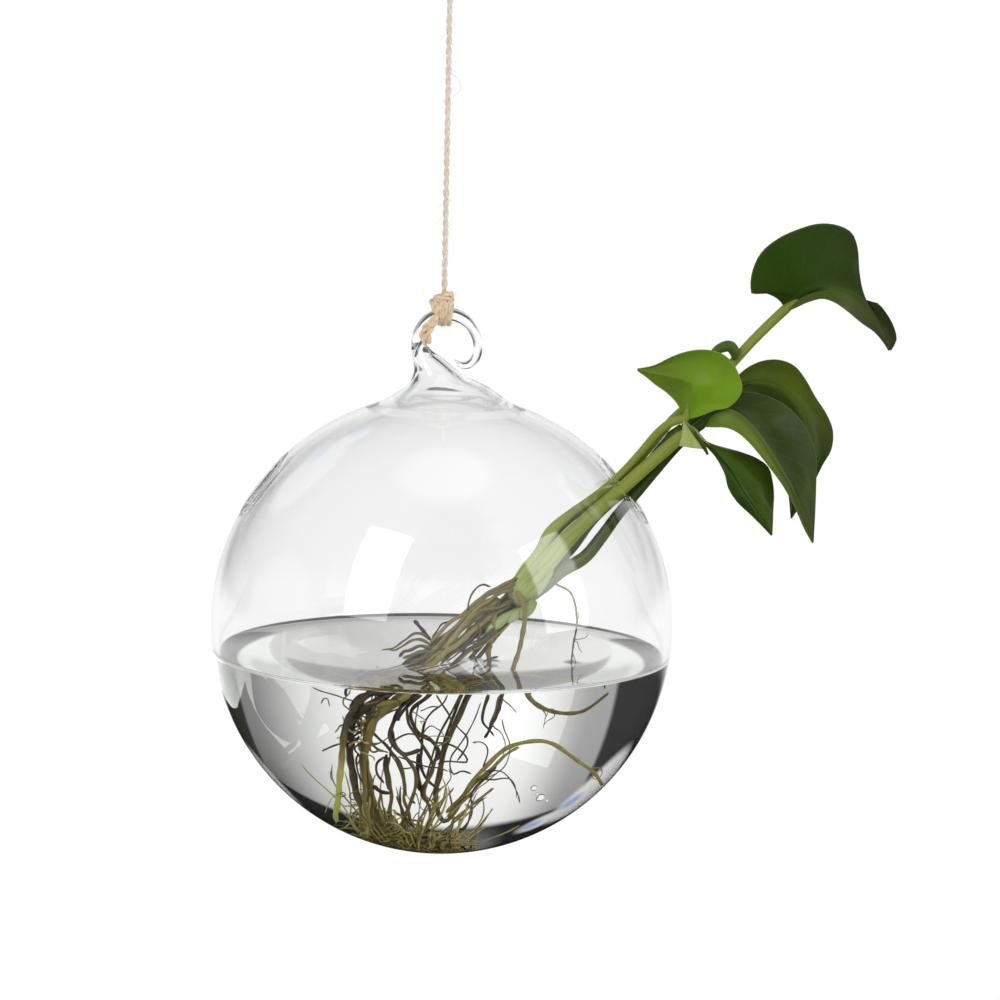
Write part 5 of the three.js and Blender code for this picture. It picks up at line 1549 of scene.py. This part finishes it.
def add_floor():
    """A pale floor well below the vase. It fades into the white background further out.

    The glass shows the white surroundings instead of it.
    """
    radius, height = 0.6, -0.45
    mesh = bpy.data.meshes.new("floor")
    rim = level_ring(angles_round(96), radius, height)
    mesh.from_pydata(rim.tolist(), [], [list(range(96))])
    paint = Paint("floor")
    flat = paint.vector_math("MULTIPLY", "Vector", paint.spot(), (1, 1, 0))
    pale = paint.ramp(paint.noise(6.0), (0.3, (0.80, 0.80, 0.79)), (0.7, (0.83, 0.83, 0.82)))
    matt = paint.add("ShaderNodeBsdfDiffuse", {"Color": pale}).outputs[0]
    gone = paint.add("ShaderNodeBsdfTransparent").outputs[0]
    rays = paint.add("ShaderNodeLightPath").outputs
    fade = paint.span(paint.vector_math("LENGTH", "Value", flat), 0.2, 0.5)
    mesh.materials.append(paint.finish(paint.blend(paint.largest(fade, rays["Is Glossy Ray"]), matt, gone)))
    floor = bpy.data.objects.new("floor", mesh)
    bpy.context.collection.objects.link(floor)


def add_softbox(name, azimuth, elevation, distance, width, height, radiance):
    """A soft lamp, given by the direction it stands in from the globe and how bright its face is."""
    azimuth, elevation = math.radians(azimuth), math.radians(elevation)
    flat = math.cos(elevation)
    towards = Vector((math.sin(azimuth) * flat, -math.cos(azimuth) * flat, math.sin(elevation)))
    data = bpy.data.lights.new(name, "AREA")
    data.shape = "RECTANGLE"
    data.size = width
    data.size_y = height
    data.energy = radiance * math.pi * width * height
    lamp = bpy.data.objects.new(name, data)
    lamp.location = Vector(GLOBE_CENTRE) * MM + towards * distance
    lamp.rotation_euler = towards.to_track_quat("Z", "Y").to_euler()
    lamp.visible_camera = False
    bpy.context.collection.objects.link(lamp)


# Bright gaps in the dark surroundings, seen low in the water: direction, and reach of the gap and of its edge
WINDOWS = [
    ((-0.58, 0.62, 0.52), 0.17, 0.25), ((-0.36, 0.71, 0.6), 0.05, 0.11), ((0.68, 0.45, 0.57), 0.12, 0.2),
]
# Blue edges of the right gap: direction and reach
BLUE_EDGES = [((-0.47, 0.72, 0.51), 0.07), ((-0.33, 0.73, 0.60), 0.06)]
# Light that the world throws on matt surfaces
FILL_LIGHT = 0.55


def surroundings(paint, way):
    """How dark the surroundings are in each direction: as seen through the glass, and as mirrored in it."""
    across, away, rise = paint.add("ShaderNodeSeparateXYZ", {0: way}).outputs
    left = paint.times(paint.span(across, -0.44, -0.50), paint.span(across, -0.97, -0.90))
    right = paint.times(paint.span(across, 0.60, 0.68), paint.span(across, 0.97, 0.90))
    top = paint.times(paint.span(rise, 0.46, 0.52), paint.span(rise, 0.98, 0.93))
    upward = paint.span(rise, -0.12, 0.0)
    flags = paint.largest(paint.times(paint.largest(left, right), 0.96), paint.times(top, 0.98))
    flags = paint.times(flags, upward)
    grey_right = paint.span(across, 0.10, 0.60, 0.0, 0.72)
    grey_left = paint.span(across, -0.16, -0.40, 0.0, 0.58)
    downward = paint.times(paint.span(rise, -0.22, -0.34), paint.span(across, -0.3, 0.2, 0.26, 0.6))
    beside = paint.math("ABSOLUTE", paint.plus(across, 0.05))
    strip = paint.times(paint.span(rise, -0.25, -0.31), paint.span(rise, -0.6, -0.54))
    strip = paint.times(strip, paint.span(beside, 0.5, 0.38, 0.0, 0.94))
    through = paint.largest(flags, downward, strip, paint.times(paint.largest(grey_right, grey_left), upward))
    for gap, reach, edge in WINDOWS:
        offset = paint.vector_math("DISTANCE", "Value", way, gap)
        through = paint.times(through, paint.span(offset, reach, edge))
    near = paint.span(away, 0.1, -0.5, 0.0, 0.1)
    mirrored = paint.largest(paint.times(flags, 0.4), near, paint.span(rise, -0.18, -0.28))
    return through, mirrored


def add_world():
    """Plain soft light. Seen directly it is white; seen in or through the glass it has dark sides and top."""
    world = bpy.data.worlds.new("world")
    bpy.context.scene.world = world
    paint = Paint("world", world)
    way = paint.add("ShaderNodeTexCoord").outputs["Generated"]
    through_dark, mirror_dark = surroundings(paint, way)
    rays = paint.add("ShaderNodeLightPath").outputs
    bent, camera = rays["Is Transmission Ray"], rays["Is Camera Ray"]
    # A glossy ray that also counts as a transmission ray comes through the glass, and isn't mirrored
    seen = paint.largest(bent, rays["Is Glossy Ray"])
    through = paint.times(bent, paint.math("SUBTRACT", 1.0, through_dark))
    mirrored = paint.times(paint.math("SUBTRACT", seen, bent), paint.span(mirror_dark, 0.0, 1.0, 0.9, 0.0))
    plain = paint.math("SUBTRACT", 1.0, paint.largest(seen, camera))
    level = paint.plus(paint.plus(paint.plus(through, mirrored), camera), paint.times(plain, FILL_LIGHT))
    blue = 0.0
    for edge, reach in BLUE_EDGES:
        offset = paint.vector_math("DISTANCE", "Value", way, edge)
        blue = paint.largest(blue, paint.span(offset, 0.3 * reach, reach, 0.75, 0.0))
    colour = paint.mix(blue, (1.0, 1.0, 1.0), (0.25, 0.45, 1.0))
    paint.finish(paint.add("ShaderNodeBackground", {"Color": colour, "Strength": level}).outputs[0])


add_floor()
add_softbox("softbox_left", -38, 30, 1.1, 0.45, 0.85, 3.2)
add_softbox("softbox_right", 64, 22, 1.1, 0.50, 0.80, 3.0)
add_world()
bpy.context.scene.view_settings.view_transform = "Standard"
